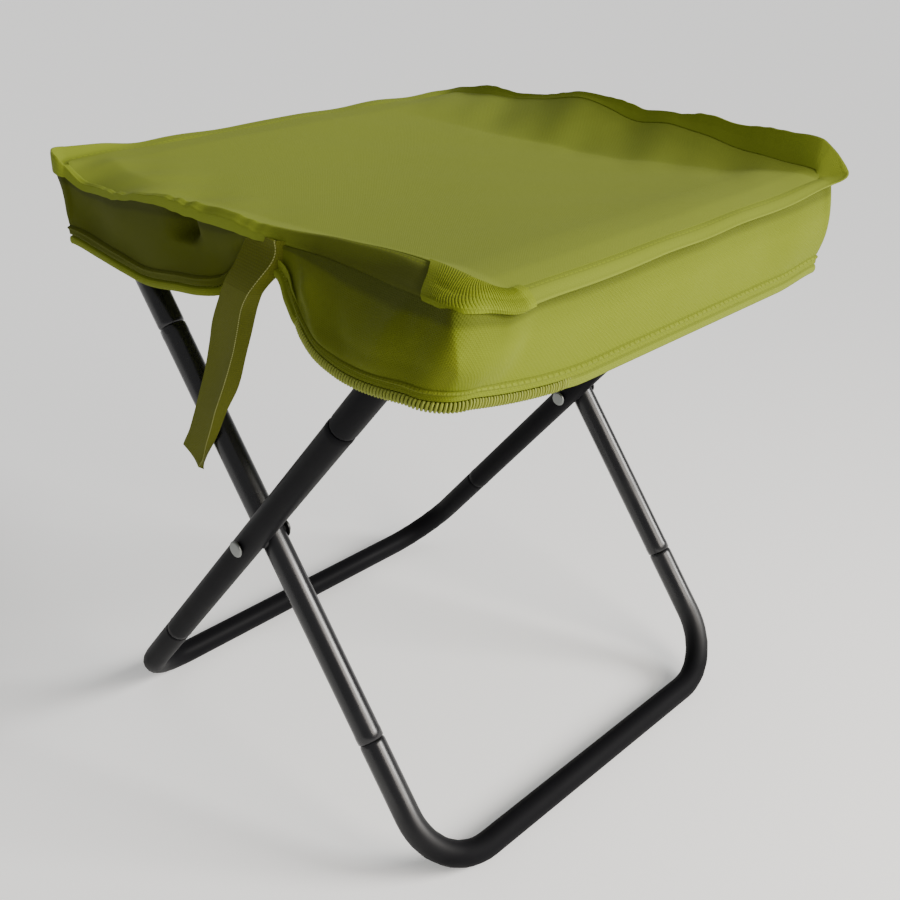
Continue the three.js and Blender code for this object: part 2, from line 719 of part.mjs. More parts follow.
const zipEdges = { 1: zipEdge(1), [-1]: zipEdge(-1) };
const wallTopLines = { 1: wallTops(1), [-1]: wallTops(-1) };
for (const [half, side] of [['right', 1], ['left', -1]]) {
  const edge = zipEdges[side];
  const first = edge.findIndex((s) => s.leg === 'side');
  const last = edge.length - 1 - [...edge].reverse().findIndex((s) => s.leg === 'side');
  addPiece(`end_wall_near_${half}`, wallPiece(side, 0, first), colours.canvasSide);
  addPiece(`side_wall_${half}`, wallPiece(side, first, last), colours.canvasSide);
  addPiece(`end_wall_far_${half}`, wallPiece(side, last, edge.length - 1), colours.canvasSide);
}

// Zip: a tape behind the wall's hem and a coil along the tape's lower edge.

const tapeFoot = coilDiameter + gap;

function tapePiece(side) {
  const back = -(wallThickness / 2 + gap + tapeThickness / 2);
  const half = tapeThickness / 2;
  const rings = zipEdges[side].map(({ p, outward, inward }, i) => {
    const [foot, above] = wallLine(side, i);
    const lap = foot.clone().addScaledVector(above.sub(foot).normalize(), tapeWidth - hemHeight);
    lap.addScaledVector(outward, -gap);
    const line = [p.clone().addScaledVector(inward, tapeFoot), p.clone().addScaledVector(inward, hemHeight), lap];
    const out = line.map((q) => q.clone().addScaledVector(outward, back + half));
    const inner = line.map((q) => q.clone().addScaledVector(outward, back - half)).reverse();
    return [...out, ...inner];
  });
  return loftRings(rings);
}

function coilPiece(side) {
  const rings = zipEdges[side].map(({ p, outward, inward }) => {
    const back = -(wallThickness / 2 + gap + tapeThickness / 2);
    const centre = p.clone().addScaledVector(inward, coilDiameter / 2).addScaledVector(outward, back);
    return Array.from({ length: coilSides }, (_, i) => {
      const angle = ((i + 0.5) * 2 * Math.PI) / coilSides;
      return centre.clone()
        .addScaledVector(outward, (coilDiameter / 2) * Math.cos(angle))
        .addScaledVector(inward, (coilDiameter / 2) * Math.sin(angle));
    });
  });
  return loftRings(rings);
}

for (const [half, side] of [['right', 1], ['left', -1]]) {
  addPiece(`zip_tape_${half}`, tapePiece(side), colours.zipTape);
  addPiece(`zip_coil_${half}`, coilPiece(side), colours.zipCoil);
}

// Slider, parked towards the far end of the left side. Its channel goes round the coil, the tape leaves
// through its slot, and the pull's eye turns on its bridge.

function sliderPiece() {
  const zipX = -((coverHalfLength + wallFootPastPanel.left) - wallThickness / 2 - gap - tapeThickness / 2);
  const zipZ = wallFootHeight + coilDiameter / 2;
  const outer = { x: sliderWidth / 2, z: sliderHeight / 2 };
  const bore = coilDiameter / 2 + fitClearance;
  const slot = tapeThickness / 2 + fitClearance;
  const section = new THREE.Shape([
    [-slot, outer.z], [-outer.x, outer.z], [-outer.x, -outer.z], [outer.x, -outer.z], [outer.x, outer.z],
    [slot, outer.z], [slot, bore], [bore, bore], [bore, -bore], [-bore, -bore], [-bore, bore], [-slot, bore],
  ].map(([x, z]) => new THREE.Vector2(x, z)));
  const body = new THREE.ExtrudeGeometry(section, { depth: sliderLength, bevelEnabled: false });
  body.rotateX(Math.PI / 2);
  body.translate(zipX, sliderPark + sliderLength / 2, zipZ);
  const bridgeX = zipX - outer.x - bridgeStandOff;
  const bar = new THREE.CylinderGeometry(bridgeDiameter / 2, bridgeDiameter / 2, bridgeLength, coilSides * 2);
  bar.translate(bridgeX, sliderPark, zipZ);
  let solid = toManifold(body).add(toManifold(bar));
  for (const end of [-1, 1]) {
    const foot = new THREE.BoxGeometry(bridgeStandOff + bridgeDiameter, bridgeDiameter, bridgeDiameter);
    const inset = (bridgeLength - bridgeDiameter) / 2;
    foot.translate(bridgeX + bridgeStandOff / 2, sliderPark + end * inset, zipZ);
    solid = solid.add(toManifold(foot));
  }
  return { geometry: fromManifold(solid), bridgeX, bridgeZ: zipZ };
}

function pullPiece(bridgeX, bridgeZ) {
  const eye = bridgeDiameter / 2 + fitClearance;
  const rim = eye + pullThickness / 2;
  const half = pullThickness / 2;
  const join = Math.sqrt(rim * rim - half * half);
  const section = new THREE.Shape();
  section.moveTo(half, -join);
  const start = Math.atan2(-join, half);
  const sweep = 2 * Math.PI - 2 * Math.asin(half / rim);
  const turns = coilSides * 2;
  for (let i = 1; i <= turns; i++) {
    const angle = start + (i / turns) * sweep;
    section.lineTo(rim * Math.cos(angle), rim * Math.sin(angle));
  }
  section.lineTo(-half, -pullLength);
  section.lineTo(half, -pullLength);
  section.closePath();
  const hole = new THREE.Path();
  hole.absarc(0, 0, eye, 0, 2 * Math.PI, true);
  section.holes.push(hole);
  const geometry = new THREE.ExtrudeGeometry(section, {
    depth: pullWidth, bevelEnabled: false, curveSegments: coilSides * 2 });
  geometry.rotateX(Math.PI / 2);
  geometry.translate(bridgeX, sliderPark + pullWidth / 2, bridgeZ);
  return closedTurning(geometry);
}

const slider = sliderPiece();
addPiece('zip_slider', slider.geometry, colours.zinc);
addPiece('zip_pull', pullPiece(slider.bridgeX, slider.bridgeZ), colours.zinc);

// Strap: sewn under the rim at the fold, it curves out past the near legs and hangs as a band folded along
// its length, with a pointed end.

const strapRootY = panelNearY(0) + wallInset;
const strapRootZ = panelHeight(0, panelNearY(0)) - fabricThickness - gap;
const strapHangY = loopBY - tubeRadius - strapStandOff - strapThickness / 2;
const strapBendZ = strapRootZ - strapTabDrop;
const strapAt = (z) => strapRootX - Math.tan(strapLean) * (strapRootZ - z);

function strapTabPiece() {
  const steps = 6;
  const half = strapThickness / 2;
  const width = strapSewnWidth / 2;
  const rings = [];
  for (let i = 0; i <= steps; i++) {
    const t = i / steps;
    const y = lerp(strapRootY, strapHangY, t * t * (3 - 2 * t));
    const z = lerp(strapRootZ, strapBendZ + gap, t);
    const slope = ((strapHangY - strapRootY) * 6 * t * (1 - t)) / -strapTabDrop;
    const out = vec(0, -1, slope).normalize();
    const at = (x, o) => vec(strapAt(z) + x, y, z).addScaledVector(out, o * half);
    rings.push([at(-width, 1), at(width, 1), at(width, -1), at(-width, -1)]);
  }
  return loftRings(rings);
}

function strapPiece() {
  const steps = 7;
  const half = strapThickness / 2;
  const bodyDrop = strapDrop - strapTipLength;
  const front = vec(0, -half, 0);
  const back = vec(0, half, 0);
  const rings = [];
  for (let i = 0; i <= steps; i++) {
    const tip = i === steps;
    const drop = tip ? strapDrop : (i / (steps - 1)) * bodyDrop;
    const z = strapBendZ - drop;
    const width = tip ? 0.12 : alongShares(strapWidthShares, i / (steps - 1));
    const fold = strapFoldAngle * Math.min(1, (2 * i) / steps);
    const middle = strapAt(z) + (tip ? strapTipLength / 3 : 0);
    const ridge = vec(middle + (width * (strapLeftWidth - strapRightWidth)) / 2, strapHangY, z);
    const left = ridge.clone().add(vec(-strapLeftWidth * width, 0, 0));
    const right = ridge.clone()
      .add(vec(strapRightWidth * width * Math.cos(fold), -strapRightWidth * width * Math.sin(fold), 0));
    rings.push([
      left.clone().add(front), ridge.clone().add(front), right.clone().add(front),
      right.clone().add(back), ridge.clone().add(back), left.clone().add(back),
    ]);
  }
  return loftRings(rings);
}

addPiece('strap_tab', strapTabPiece(), colours.strap);
addPiece('strap', strapPiece(), colours.strap);

// The part's origin is the middle of its footprint, on the floor.
const extent = new THREE.Box3().setFromObject(stool);
stool.position.set(-(extent.min.x + extent.max.x) / 2, -(extent.min.y + extent.max.y) / 2, -extent.min.z);

export default stool;
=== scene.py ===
# %% [markdown]
# # A folding stool with a zip-edged fabric cover
#
# The imported model gives the frame: two loops of tube that cross at a pair of rivets, and plain solids where
# the cloth goes. This lesson keeps every size from it and dresses it: smooth tubes, a seat cover of canvas
# with its rim, walls and zip, and a strap.

# %% Load the frame
import json
import math

import bpy
import numpy as np
from mathutils import Matrix, Vector


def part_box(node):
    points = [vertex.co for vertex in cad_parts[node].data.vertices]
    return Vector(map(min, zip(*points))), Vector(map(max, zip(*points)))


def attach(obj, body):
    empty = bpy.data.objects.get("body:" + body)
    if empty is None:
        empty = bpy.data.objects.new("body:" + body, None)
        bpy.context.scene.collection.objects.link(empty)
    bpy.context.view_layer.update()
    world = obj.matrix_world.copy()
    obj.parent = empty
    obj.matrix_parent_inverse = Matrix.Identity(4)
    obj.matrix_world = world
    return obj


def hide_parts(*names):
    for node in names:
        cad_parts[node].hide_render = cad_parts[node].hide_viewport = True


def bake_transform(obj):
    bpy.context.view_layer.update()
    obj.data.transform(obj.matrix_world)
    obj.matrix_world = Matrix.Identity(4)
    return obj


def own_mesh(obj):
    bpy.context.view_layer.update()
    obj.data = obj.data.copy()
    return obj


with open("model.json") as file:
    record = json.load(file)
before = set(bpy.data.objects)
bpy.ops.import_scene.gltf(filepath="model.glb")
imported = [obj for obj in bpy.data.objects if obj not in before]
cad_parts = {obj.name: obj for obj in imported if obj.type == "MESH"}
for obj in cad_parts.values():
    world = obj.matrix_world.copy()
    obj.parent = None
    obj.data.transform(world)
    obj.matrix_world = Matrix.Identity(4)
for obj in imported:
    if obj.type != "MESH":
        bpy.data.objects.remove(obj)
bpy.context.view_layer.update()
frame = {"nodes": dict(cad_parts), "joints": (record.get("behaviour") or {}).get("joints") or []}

# %% [markdown]
# ## One place to measure from
#
# Every length below is in millimetres from a point on the floor midway between the legs. It is found from
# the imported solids, so the cloth and the camera stay with the frame if the model moves in its box.
# Materials are the exception: their nodes measure in metres.

# %% The stool's own middle
MM = 0.001
pivot_joint = next(j for j in frame["joints"] if j["name"] == "fold")
PIVOT_X, _, PIVOT_Z = pivot_joint["pos_m"]
LEG_Y = {leg: sum(corner[1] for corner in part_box(f"leg_tube_{leg}")) / 2
         for leg in ("a_near", "a_far", "b_near", "b_far")}
MIDDLE = Vector((PIVOT_X, (LEG_Y["a_near"] + LEG_Y["b_far"]) / 2, 0))


def at(x, y, z):
    """A place in millimetres from the stool's middle, as a point of the scene."""
    return MIDDLE + Vector((x, y, z)) * MM


def y_span(node):
    """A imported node's lowest and highest y, in millimetres from the stool's middle."""
    return [(corner[1] - MIDDLE.y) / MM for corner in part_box(node)]


print("Middle of the legs:", [round(1000 * c, 1) for c in MIDDLE])

# %% [markdown]
# ## The camera
#
# The photograph was taken from the front corner, a little above the seat. Both loops are rectangles of
# the same size, which fixes where the camera stood and how long its lens was.

# %% Camera
CAMERA_PLACE = (468.7, -488.5, 543.2)
CAMERA_TURN_DEG = (62.254, -1.291, 43.719)
SENSOR_WIDTH, LENS_LENGTH = 36, 46.825

bpy.ops.object.camera_add(location=at(*CAMERA_PLACE), rotation=[math.radians(a) for a in CAMERA_TURN_DEG])
camera = bpy.context.object
camera.name = "camera"
camera.data.sensor_width = SENSOR_WIDTH
camera.data.lens = LENS_LENGTH
bpy.context.scene.camera = camera
print("The camera stands", round((camera.location - at(0, 0, 0)).length, 2), "m from the stool's middle")

# %% [markdown]
# ## The studio
#
# A pale floor and a pale world keep the picture even. A soft sun stands far to the right, so the cover's
# right wall is its brightest face and the near walls fall into shade. A small area light draws the long
# highlights on the glossy legs. The floor gives a little light of its own: it comes near the photograph's
# white ground, and the cloth keeps its shade, which stronger lamps would wash out.

# %% Floor, world and lights
FLOOR_GREY, FLOOR_GLOW, FLOOR_DROP = 0.95, 0.22, 0.0004
WORLD_STRENGTH = 0.42
SEAT_MIDDLE = (0, 0, 360)


def new_material(name):
    material = bpy.data.materials.new(name)
    material.use_nodes = True
    return material, material.node_tree, material.node_tree.nodes["Principled BSDF"]


def set_inputs(node, values):
    for socket, value in values.items():
        node.inputs[socket].default_value = value


bpy.ops.mesh.primitive_plane_add(size=12, location=(0, 0, -FLOOR_DROP))
floor = bpy.context.object
floor.name = "studio_floor"
floor_paint, _, floor_shader = new_material("studio_floor")
set_inputs(floor_shader, {"Base Color": (FLOOR_GREY, FLOOR_GREY, FLOOR_GREY, 1), "Roughness": 0.9,
                          "Emission Color": (1, 1, 1, 1), "Emission Strength": FLOOR_GLOW})
floor.data.materials.append(floor_paint)

world = bpy.data.worlds.new("studio")
bpy.context.scene.world = world
world.use_nodes = True
set_inputs(world.node_tree.nodes["Background"], {"Color": (1, 1, 1, 1), "Strength": WORLD_STRENGTH})


def light(kind, name, place, strength, colour, aim):
    """A lamp of a given kind, turned to shine from its place towards its aim."""
    bpy.ops.object.light_add(type=kind, location=at(*place))
    lamp = bpy.context.object
    lamp.name = name
    lamp.data.energy = strength
    lamp.data.color = colour
    lamp.rotation_euler = (at(*aim) - lamp.location).to_track_quat("-Z", "Y").to_euler()
    return lamp


sun = light("SUN", "key", (1300, 1100, 1300), strength=3.4, colour=(1, 0.985, 0.95), aim=SEAT_MIDDLE)
sun.data.angle = math.radians(22)
streak = light("AREA", "tube_streak", (973, 174, 654), strength=11, colour=(1, 0.93, 0.85),
               aim=(60, -130, 100))
streak.data.size = 0.6
print("Lights:", [lamp.name for lamp in (sun, streak)])

# %% [markdown]
# ## Finishes that several materials share
#
# Cloth, webbing and binding are all threads that cross. A node group draws them from the piece's own UV
# map, which is in metres, so a thread has the same width on every piece. The group puts out a height for
# the bump, and a mask for the dark gaps between threads.


# %% Node helpers
def new_group(name, inputs, outputs):
    """A node group with number sockets that have a value, and vector sockets that have none."""
    group = bpy.data.node_groups.new(name, "ShaderNodeTree")
    for socket, value in inputs.items():
        kind = "NodeSocketVector" if value is None else "NodeSocketFloat"
        made = group.interface.new_socket(name=socket, in_out="INPUT", socket_type=kind)
        if value is not None:
            made.default_value = value
    for socket in outputs:
        group.interface.new_socket(name=socket, in_out="OUTPUT", socket_type="NodeSocketFloat")
    return group, group.nodes.new("NodeGroupInput").outputs, group.nodes.new("NodeGroupOutput").inputs


def feed(tree, socket, value):
    """A socket takes a fixed value, or what comes out of another node."""
    if isinstance(value, (int, float, tuple)):
        socket.default_value = value
    else:
        tree.links.new(value, socket)


def math_node(tree, operation, *values):
    node = tree.nodes.new("ShaderNodeMath")
    node.operation = operation
    for socket, value in zip(node.inputs, values):
        feed(tree, socket, value)
    return node.outputs[0]


def mix_colours(tree, factor, first, second, blend="MIX"):
    node = tree.nodes.new("ShaderNodeMix")
    node.data_type = "RGBA"
    node.blend_type = blend
    for socket, value in (("Factor", factor), ("A", first), ("B", second)):
        feed(tree, node.inputs[socket], value)
    return node.outputs["Result"]


def noise(tree, vector, scale, detail):
    node = tree.nodes.new("ShaderNodeTexNoise")
    set_inputs(node, {"Scale": scale, "Detail": detail})
    tree.links.new(vector, node.inputs["Vector"])
    return node.outputs["Fac"]


def ramp(tree, value, start, end):
    """0 at the start and 1 at the end."""
    node = tree.nodes.new("ShaderNodeMapRange")
    set_inputs(node, {"From Min": start, "From Max": end})
    tree.links.new(value, node.inputs["Value"])
    return node.outputs[0]


def axes_of(tree, vector):
    """A vector's X, Y and Z, each by its name."""
    node = tree.nodes.new("ShaderNodeSeparateXYZ")
    tree.links.new(vector, node.inputs[0])
    return node.outputs


def add_bump(tree, shader, height, strength, distance):
    node = tree.nodes.new("ShaderNodeBump")
    set_inputs(node, {"Strength": strength, "Distance": distance})
    tree.links.new(height, node.inputs["Height"])
    tree.links.new(node.outputs["Normal"], shader.inputs["Normal"])


# %% Threads that cross
OVER_UNDER_HEIGHT, CROSSING_HEIGHT = 0.4, 0.6
UNEVEN_SCALE = 420.0

weave, weave_in, weave_out = new_group(
    "Plain weave", {"Cloth": None, "Warp per metre": 1500.0, "Weft per metre": 1500.0, "Unevenness": 0.25},
    ["Height", "Gap"])
weave_axes = axes_of(weave, weave_in["Cloth"])


def thread_wave(axis, threads):
    """Up over one thread and down under the next, along one axis of the cloth."""
    turns = math_node(weave, "MULTIPLY", weave_axes[axis], weave_in[threads])
    return math_node(weave, "SINE", math_node(weave, "MULTIPLY", turns, math.pi))


warp, weft = thread_wave("X", "Warp per metre"), thread_wave("Y", "Weft per metre")
warp_height, weft_height = (math_node(weave, "ABSOLUTE", wave) for wave in (warp, weft))
both = math_node(weave, "MULTIPLY", warp_height, weft_height)
crossing = math_node(weave, "MULTIPLY", both, CROSSING_HEIGHT)
over_under = math_node(weave, "MULTIPLY", warp, weft)
raised = math_node(weave, "MULTIPLY_ADD", over_under, OVER_UNDER_HEIGHT, crossing)
cloudy = noise(weave, weave_in["Cloth"], UNEVEN_SCALE, 2.0)
uneven = math_node(weave, "MULTIPLY", cloudy, weave_in["Unevenness"])
weave.links.new(math_node(weave, "ADD", raised, uneven), weave_out["Height"])
thread_gap = math_node(weave, "SUBTRACT", 1.0, math_node(weave, "MAXIMUM", warp_height, weft_height))
weave.links.new(thread_gap, weave_out["Gap"])
print("Nodes in the weave:", len(weave.nodes))

# %% Rows of stitches
STITCH_SHARE = 0.74
PUCKER_WIDTHS = 3.0

stitches, stitch_in, stitch_out = new_group(
    "Stitch row", {"Cloth": None, "Row": 0.01, "Stitch length": 0.0032, "Thread width": 0.0007},
    ["Thread", "Pucker"])
stitch_axes = axes_of(stitches, stitch_in["Cloth"])
from_row = math_node(stitches, "SUBTRACT", stitch_axes["Y"], stitch_in["Row"])
from_row = math_node(stitches, "ABSOLUTE", from_row)
in_row = math_node(stitches, "LESS_THAN", from_row, stitch_in["Thread width"])
along_row = math_node(stitches, "DIVIDE", stitch_axes["X"], stitch_in["Stitch length"])
on_stitch = math_node(stitches, "LESS_THAN", math_node(stitches, "FRACT", along_row), STITCH_SHARE)
stitches.links.new(math_node(stitches, "MULTIPLY", in_row, on_stitch), stitch_out["Thread"])
pucker_reach = math_node(stitches, "MULTIPLY", stitch_in["Thread width"], PUCKER_WIDTHS)
near_row = math_node(stitches, "DIVIDE", from_row, pucker_reach)
near_row = math_node(stitches, "SUBTRACT", 1.0, math_node(stitches, "MINIMUM", near_row, 1.0))
stitches.links.new(near_row, stitch_out["Pucker"])
print("Nodes in the row of stitches:", len(stitches.nodes))

# %% [markdown]
# ## Cloth
#
# One function makes every cloth: two close greens mixed in soft patches, dark gaps between the threads, and a
# row of stitches where the piece has one. The photograph's near end is much darker than soft light makes it,
# so shade is painted into its cloth there, as a darker colour that multiplies its own. A mask says where the
# painted shade lies, and each mask is a function of its own.

# %% Where shade is painted on the cloth: the near end, the right wall before its crease, and under the rim
END_STARTS, END_FULL, FADE_ACROSS, FADE_RIGHT = -0.115, -0.13, 0.003, 0.04
TURN_FOOT, TURN_LEAN, TURN_TOP = 0.2118, -0.425, 0.054
TURN_BLUR, TURN_BLUR_LEAN, SHARPEST_TURN = 0.0145, -0.6, 0.0015
FLANGE_EDGE, FLANGE_SHADE = (0.0448, 0.0485), (0.032, 0.0475)


def near_end(start=-1.0, reach=0.1515):
    """A mask of the painted shade on the cover's near end: right of start, and within reach of the middle."""

    def mask(tree, place):
        spot = axes_of(tree, place["Object"])
        across = math_node(tree, "SUBTRACT", spot["X"], MIDDLE.x)
        at_end = ramp(tree, spot["Y"], MIDDLE.y + END_STARTS, MIDDLE.y + END_FULL)
        inside = ramp(tree, math_node(tree, "ABSOLUTE", across), reach + FADE_ACROSS, reach)
        to_right = ramp(tree, across, start, start + FADE_RIGHT)
        return math_node(tree, "MULTIPLY", math_node(tree, "MULTIPLY", at_end, inside), to_right)

    return mask


def before_corner(tree, place):
    """A mask of the painted shade on the right wall, up to its crease. The crease leans, and its edge is
    sharper further up.
    """
    spot = axes_of(tree, place["UV"])
    height = math_node(tree, "MINIMUM", spot["Y"], TURN_TOP)
    blur = math_node(tree, "MULTIPLY_ADD", height, TURN_BLUR_LEAN, TURN_BLUR)
    blur = math_node(tree, "MAXIMUM", blur, SHARPEST_TURN)
    crease = math_node(tree, "MULTIPLY_ADD", height, TURN_LEAN, TURN_FOOT)
    past = math_node(tree, "DIVIDE", math_node(tree, "SUBTRACT", crease, spot["X"]), blur)
    return ramp(tree, past, -0.5, 0.5)


def under_flange(tree, place, depth):
    """A mask of the painted shadow on the wall's top, which the rim hangs over: deep close to the seam, and
    faint lower down.
    """
    up = axes_of(tree, place["UV"])["Y"]
    close = math_node(tree, "MULTIPLY", ramp(tree, up, *FLANGE_EDGE), 0.6)
    painted_rim_shadow = math_node(tree, "MULTIPLY_ADD", ramp(tree, up, *FLANGE_SHADE), 0.4, close)
    return math_node(tree, "MULTIPLY", painted_rim_shadow, depth)


# %% What all cloths share, and how a row is sewn
PATCH_SCALE, SPECKLE_SCALE = 9.0, 160.0
PATCH_DEPTH, SPECKLE_DEPTH, GAP_DEPTH = 0.16, 0.35, 0.55
CLOTH_ROUGHNESS = 0.74
CLOTH_BUMP = 0.0003
ROW_FADE, DENT_SHADE, THREAD_LIFT = 0.006, 0.3, 1.6


def darker(colour, share):
    return (*(share * c for c in colour), 1)


def sew(tree, place, base, height, shade, thread_colour, row, row_end, stitch):
    """Adds a row of stitches to a cloth's colour and height. The row stops at row_end along the stool."""
    sewn = tree.nodes.new("ShaderNodeGroup")
    sewn.node_tree = stitches
    tree.links.new(place["UV"], sewn.inputs["Cloth"])
    set_inputs(sewn, {"Row": row, "Stitch length": stitch[0], "Thread width": stitch[1]})
    along = axes_of(tree, place["Object"])["Y"]
    shown = ramp(tree, along, MIDDLE.y + row_end + ROW_FADE, MIDDLE.y + row_end)
    thread, dent = (math_node(tree, "MULTIPLY", sewn.outputs[mark], shown) for mark in ("Thread", "Pucker"))
    base = mix_colours(tree, math_node(tree, "MULTIPLY", dent, DENT_SHADE), base, darker(shade, 0.6))
    base = mix_colours(tree, thread, base, (*thread_colour, 1))
    lift = math_node(tree, "SUBTRACT", thread, dent)
    return base, math_node(tree, "MULTIPLY_ADD", lift, THREAD_LIFT, height)


# %% A cloth material
def cloth_material(name, colour, shade, threads=(1500.0, 1500.0), bump=0.35, row=None, row_end=1.0,
                   stitch=(0.0032, 0.0006), thread_colour=None, painted_rim_shadow=0.0, painted_shade=None, where=near_end(),
                   sheen=0.06):
    """Woven cloth. row is its stitches' height up the UV map. It can have a painted shadow under the rim, as
    dark as asked, and painted shade laid where a mask says.
    """
    material, tree, shader = new_material(name)
    place = tree.nodes.new("ShaderNodeTexCoord").outputs
    woven = tree.nodes.new("ShaderNodeGroup")
    woven.node_tree = weave
    tree.links.new(place["UV"], woven.inputs["Cloth"])
    set_inputs(woven, {"Warp per metre": threads[0], "Weft per metre": threads[1]})
    height = woven.outputs["Height"]
    patches = noise(tree, place["Object"], PATCH_SCALE, 4.0)
    patch = math_node(tree, "MULTIPLY_ADD", patches, 2 * PATCH_DEPTH, 0.5 - PATCH_DEPTH)
    base = mix_colours(tree, patch, (*shade, 1), (*colour, 1))
    speckle = math_node(tree, "MULTIPLY", noise(tree, place["Object"], SPECKLE_SCALE, 2.0), SPECKLE_DEPTH)
    base = mix_colours(tree, speckle, base, (*shade, 1))
    gaps = math_node(tree, "MULTIPLY", woven.outputs["Gap"], GAP_DEPTH)
    base = mix_colours(tree, gaps, base, darker(shade, 0.45))
    if row:
        base, height = sew(tree, place, base, height, shade, thread_colour or colour, row, row_end, stitch)
    # Painted shadow: the wall's top is darkened where the rim hangs over it.
    if painted_rim_shadow:
        base = mix_colours(tree, under_flange(tree, place, painted_rim_shadow), base, darker(shade, 0.35))
    # Painted shade: inside the mask the colour is multiplied by a darker one.
    if painted_shade:
        painted_shade_colour = mix_colours(tree, 1.0, base, (*painted_shade, 1), "MULTIPLY")
        base = mix_colours(tree, where(tree, place), base, painted_shade_colour)
    tree.links.new(base, shader.inputs["Base Color"])
    rough = math_node(tree, "MULTIPLY_ADD", patches, 0.16, CLOTH_ROUGHNESS)
    tree.links.new(rough, shader.inputs["Roughness"])
    add_bump(tree, shader, height, bump, CLOTH_BUMP)
    set_inputs(shader, {"Sheen Weight": sheen, "Sheen Roughness": 0.45, "Sheen Tint": (0.7, 0.75, 0.3, 1),
                        "Specular IOR Level": 0.15})
    return material


# %% The cloths
OLIVE, OLIVE_SHADE = (0.204, 0.25, 0.026), (0.158, 0.193, 0.02)
LIT_OLIVE, LIT_SHADE = (0.194, 0.242, 0.012), (0.151, 0.188, 0.008)
WALL_OLIVE, WALL_SHADE = (0.18, 0.225, 0.011), (0.139, 0.173, 0.007)
STRAP_OLIVE, STRAP_SHADE = (0.11, 0.12, 0.007), (0.08, 0.088, 0.004)
SLING_OLIVE, SLING_SHADE = (0.09, 0.1, 0.02), (0.06, 0.07, 0.014)
RIM_ROW, HEM_ROW, STRAP_RIDGE_WEAR_AND_HIGHLIGHT = 0.0062, 0.0056, 0.0122

seat_canvas = cloth_material("seat canvas", OLIVE, OLIVE_SHADE, bump=0.3)
# The darker colours passed below are painted shade: on the near end's rim, webbing, tape and left wall, and
# on the right wall up to its crease.
edge_canvas = cloth_material("edge canvas", LIT_OLIVE, OLIVE_SHADE, bump=0.3, row=RIM_ROW, row_end=0.14,
                             painted_shade=(0.42, 0.4, 0.2), where=near_end(start=0.0))
corner_webbing = cloth_material("corner webbing", LIT_OLIVE, LIT_SHADE, threads=(1200.0, 900.0), bump=0.4,
                                painted_shade=(0.85, 0.83, 0.6))
# The walls also get a painted shadow under the rim.
wall_canvas = cloth_material("wall canvas", WALL_OLIVE, WALL_SHADE, threads=(950.0, 950.0), bump=0.65,
                             row=HEM_ROW, thread_colour=(0.18, 0.22, 0.015), painted_rim_shadow=0.65,
                             painted_shade=(0.74, 0.71, 0.56), where=before_corner)
shaded_canvas = cloth_material("shaded wall canvas", LIT_OLIVE, LIT_SHADE, bump=0.4, row=HEM_ROW,
                               thread_colour=(0.19, 0.23, 0.016), painted_rim_shadow=0.6,
                               painted_shade=(0.36, 0.34, 0.1), where=near_end(reach=0.158))
zip_tape_cloth = cloth_material("zip tape", LIT_OLIVE, OLIVE_SHADE, threads=(900.0, 900.0), bump=0.5,
                                painted_shade=(0.8, 0.78, 0.5))
# The pale stitch row lies on the strap's ridge: partly wear, partly a painted highlight.
strap_webbing = cloth_material("strap webbing", STRAP_OLIVE, STRAP_SHADE, threads=(700.0, 1100.0), bump=0.5,
                               row=STRAP_RIDGE_WEAR_AND_HIGHLIGHT, stitch=(0.0014, 0.00042), thread_colour=(0.3, 0.31, 0.1),
                               sheen=0.0)
sling_canvas = cloth_material("sling canvas", SLING_OLIVE, SLING_SHADE, threads=(1100.0, 1100.0))
print("Cloth materials:", [m.name for m in bpy.data.materials if "canvas" in m.name])

# %% [markdown]
# ## Metal and nylon
#
# The same function makes paint, plating and nylon: a fine orange peel in the bump, and worn patches that
# are lighter and duller. One loop is satin and the other glossy, as in the photograph. The glossy one
# turns matt near the floor, because its foot shows no highlight there.

# %% Coated and plated metal
WORN_SCALE, WORN_FROM, WORN_TO = 38.0, 0.56, 0.72
WORN_ROUGHNESS, SCUFF_ROUGHNESS = 0.14, 0.4
FOOT_HIGH, FOOT_LOW, FOOT_SHINE_LOST = 0.055, 0.018, 0.85
PEEL_DEPTH = 0.0002


def coated_metal(name, colour, roughness, metallic=0.0, grain=900.0, bump=0.04, scuffs=0.1, specular=0.5,
                 matt_foot=0.0):
    """A coat with worn patches. matt_foot is how much rougher it is near the floor, where it shines less."""
    material, tree, shader = new_material(name)
    place = tree.nodes.new("ShaderNodeTexCoord").outputs["Object"]
    worn = noise(tree, place, WORN_SCALE, 5.0)
    scuff = math_node(tree, "MULTIPLY", ramp(tree, worn, WORN_FROM, WORN_TO), scuffs)
    lighter = (*(min(1.0, 2.2 * c + 0.012) for c in colour), 1)
    tree.links.new(mix_colours(tree, scuff, (*colour, 1), lighter), shader.inputs["Base Color"])
    rough = math_node(tree, "MULTIPLY_ADD", worn, WORN_ROUGHNESS, roughness - WORN_ROUGHNESS / 2)
    rough = math_node(tree, "MULTIPLY_ADD", scuff, SCUFF_ROUGHNESS, rough)
    set_inputs(shader, {"Metallic": metallic, "Specular IOR Level": specular})
    if matt_foot:
        foot = ramp(tree, axes_of(tree, place)["Z"], FOOT_HIGH, FOOT_LOW)
        rough = math_node(tree, "MULTIPLY_ADD", foot, matt_foot, rough)
        shine = math_node(tree, "MULTIPLY_ADD", foot, -FOOT_SHINE_LOST * specular, specular)
        tree.links.new(shine, shader.inputs["Specular IOR Level"])
    tree.links.new(rough, shader.inputs["Roughness"])
    add_bump(tree, shader, noise(tree, place, grain, 2.0), bump, PEEL_DEPTH)
    return material


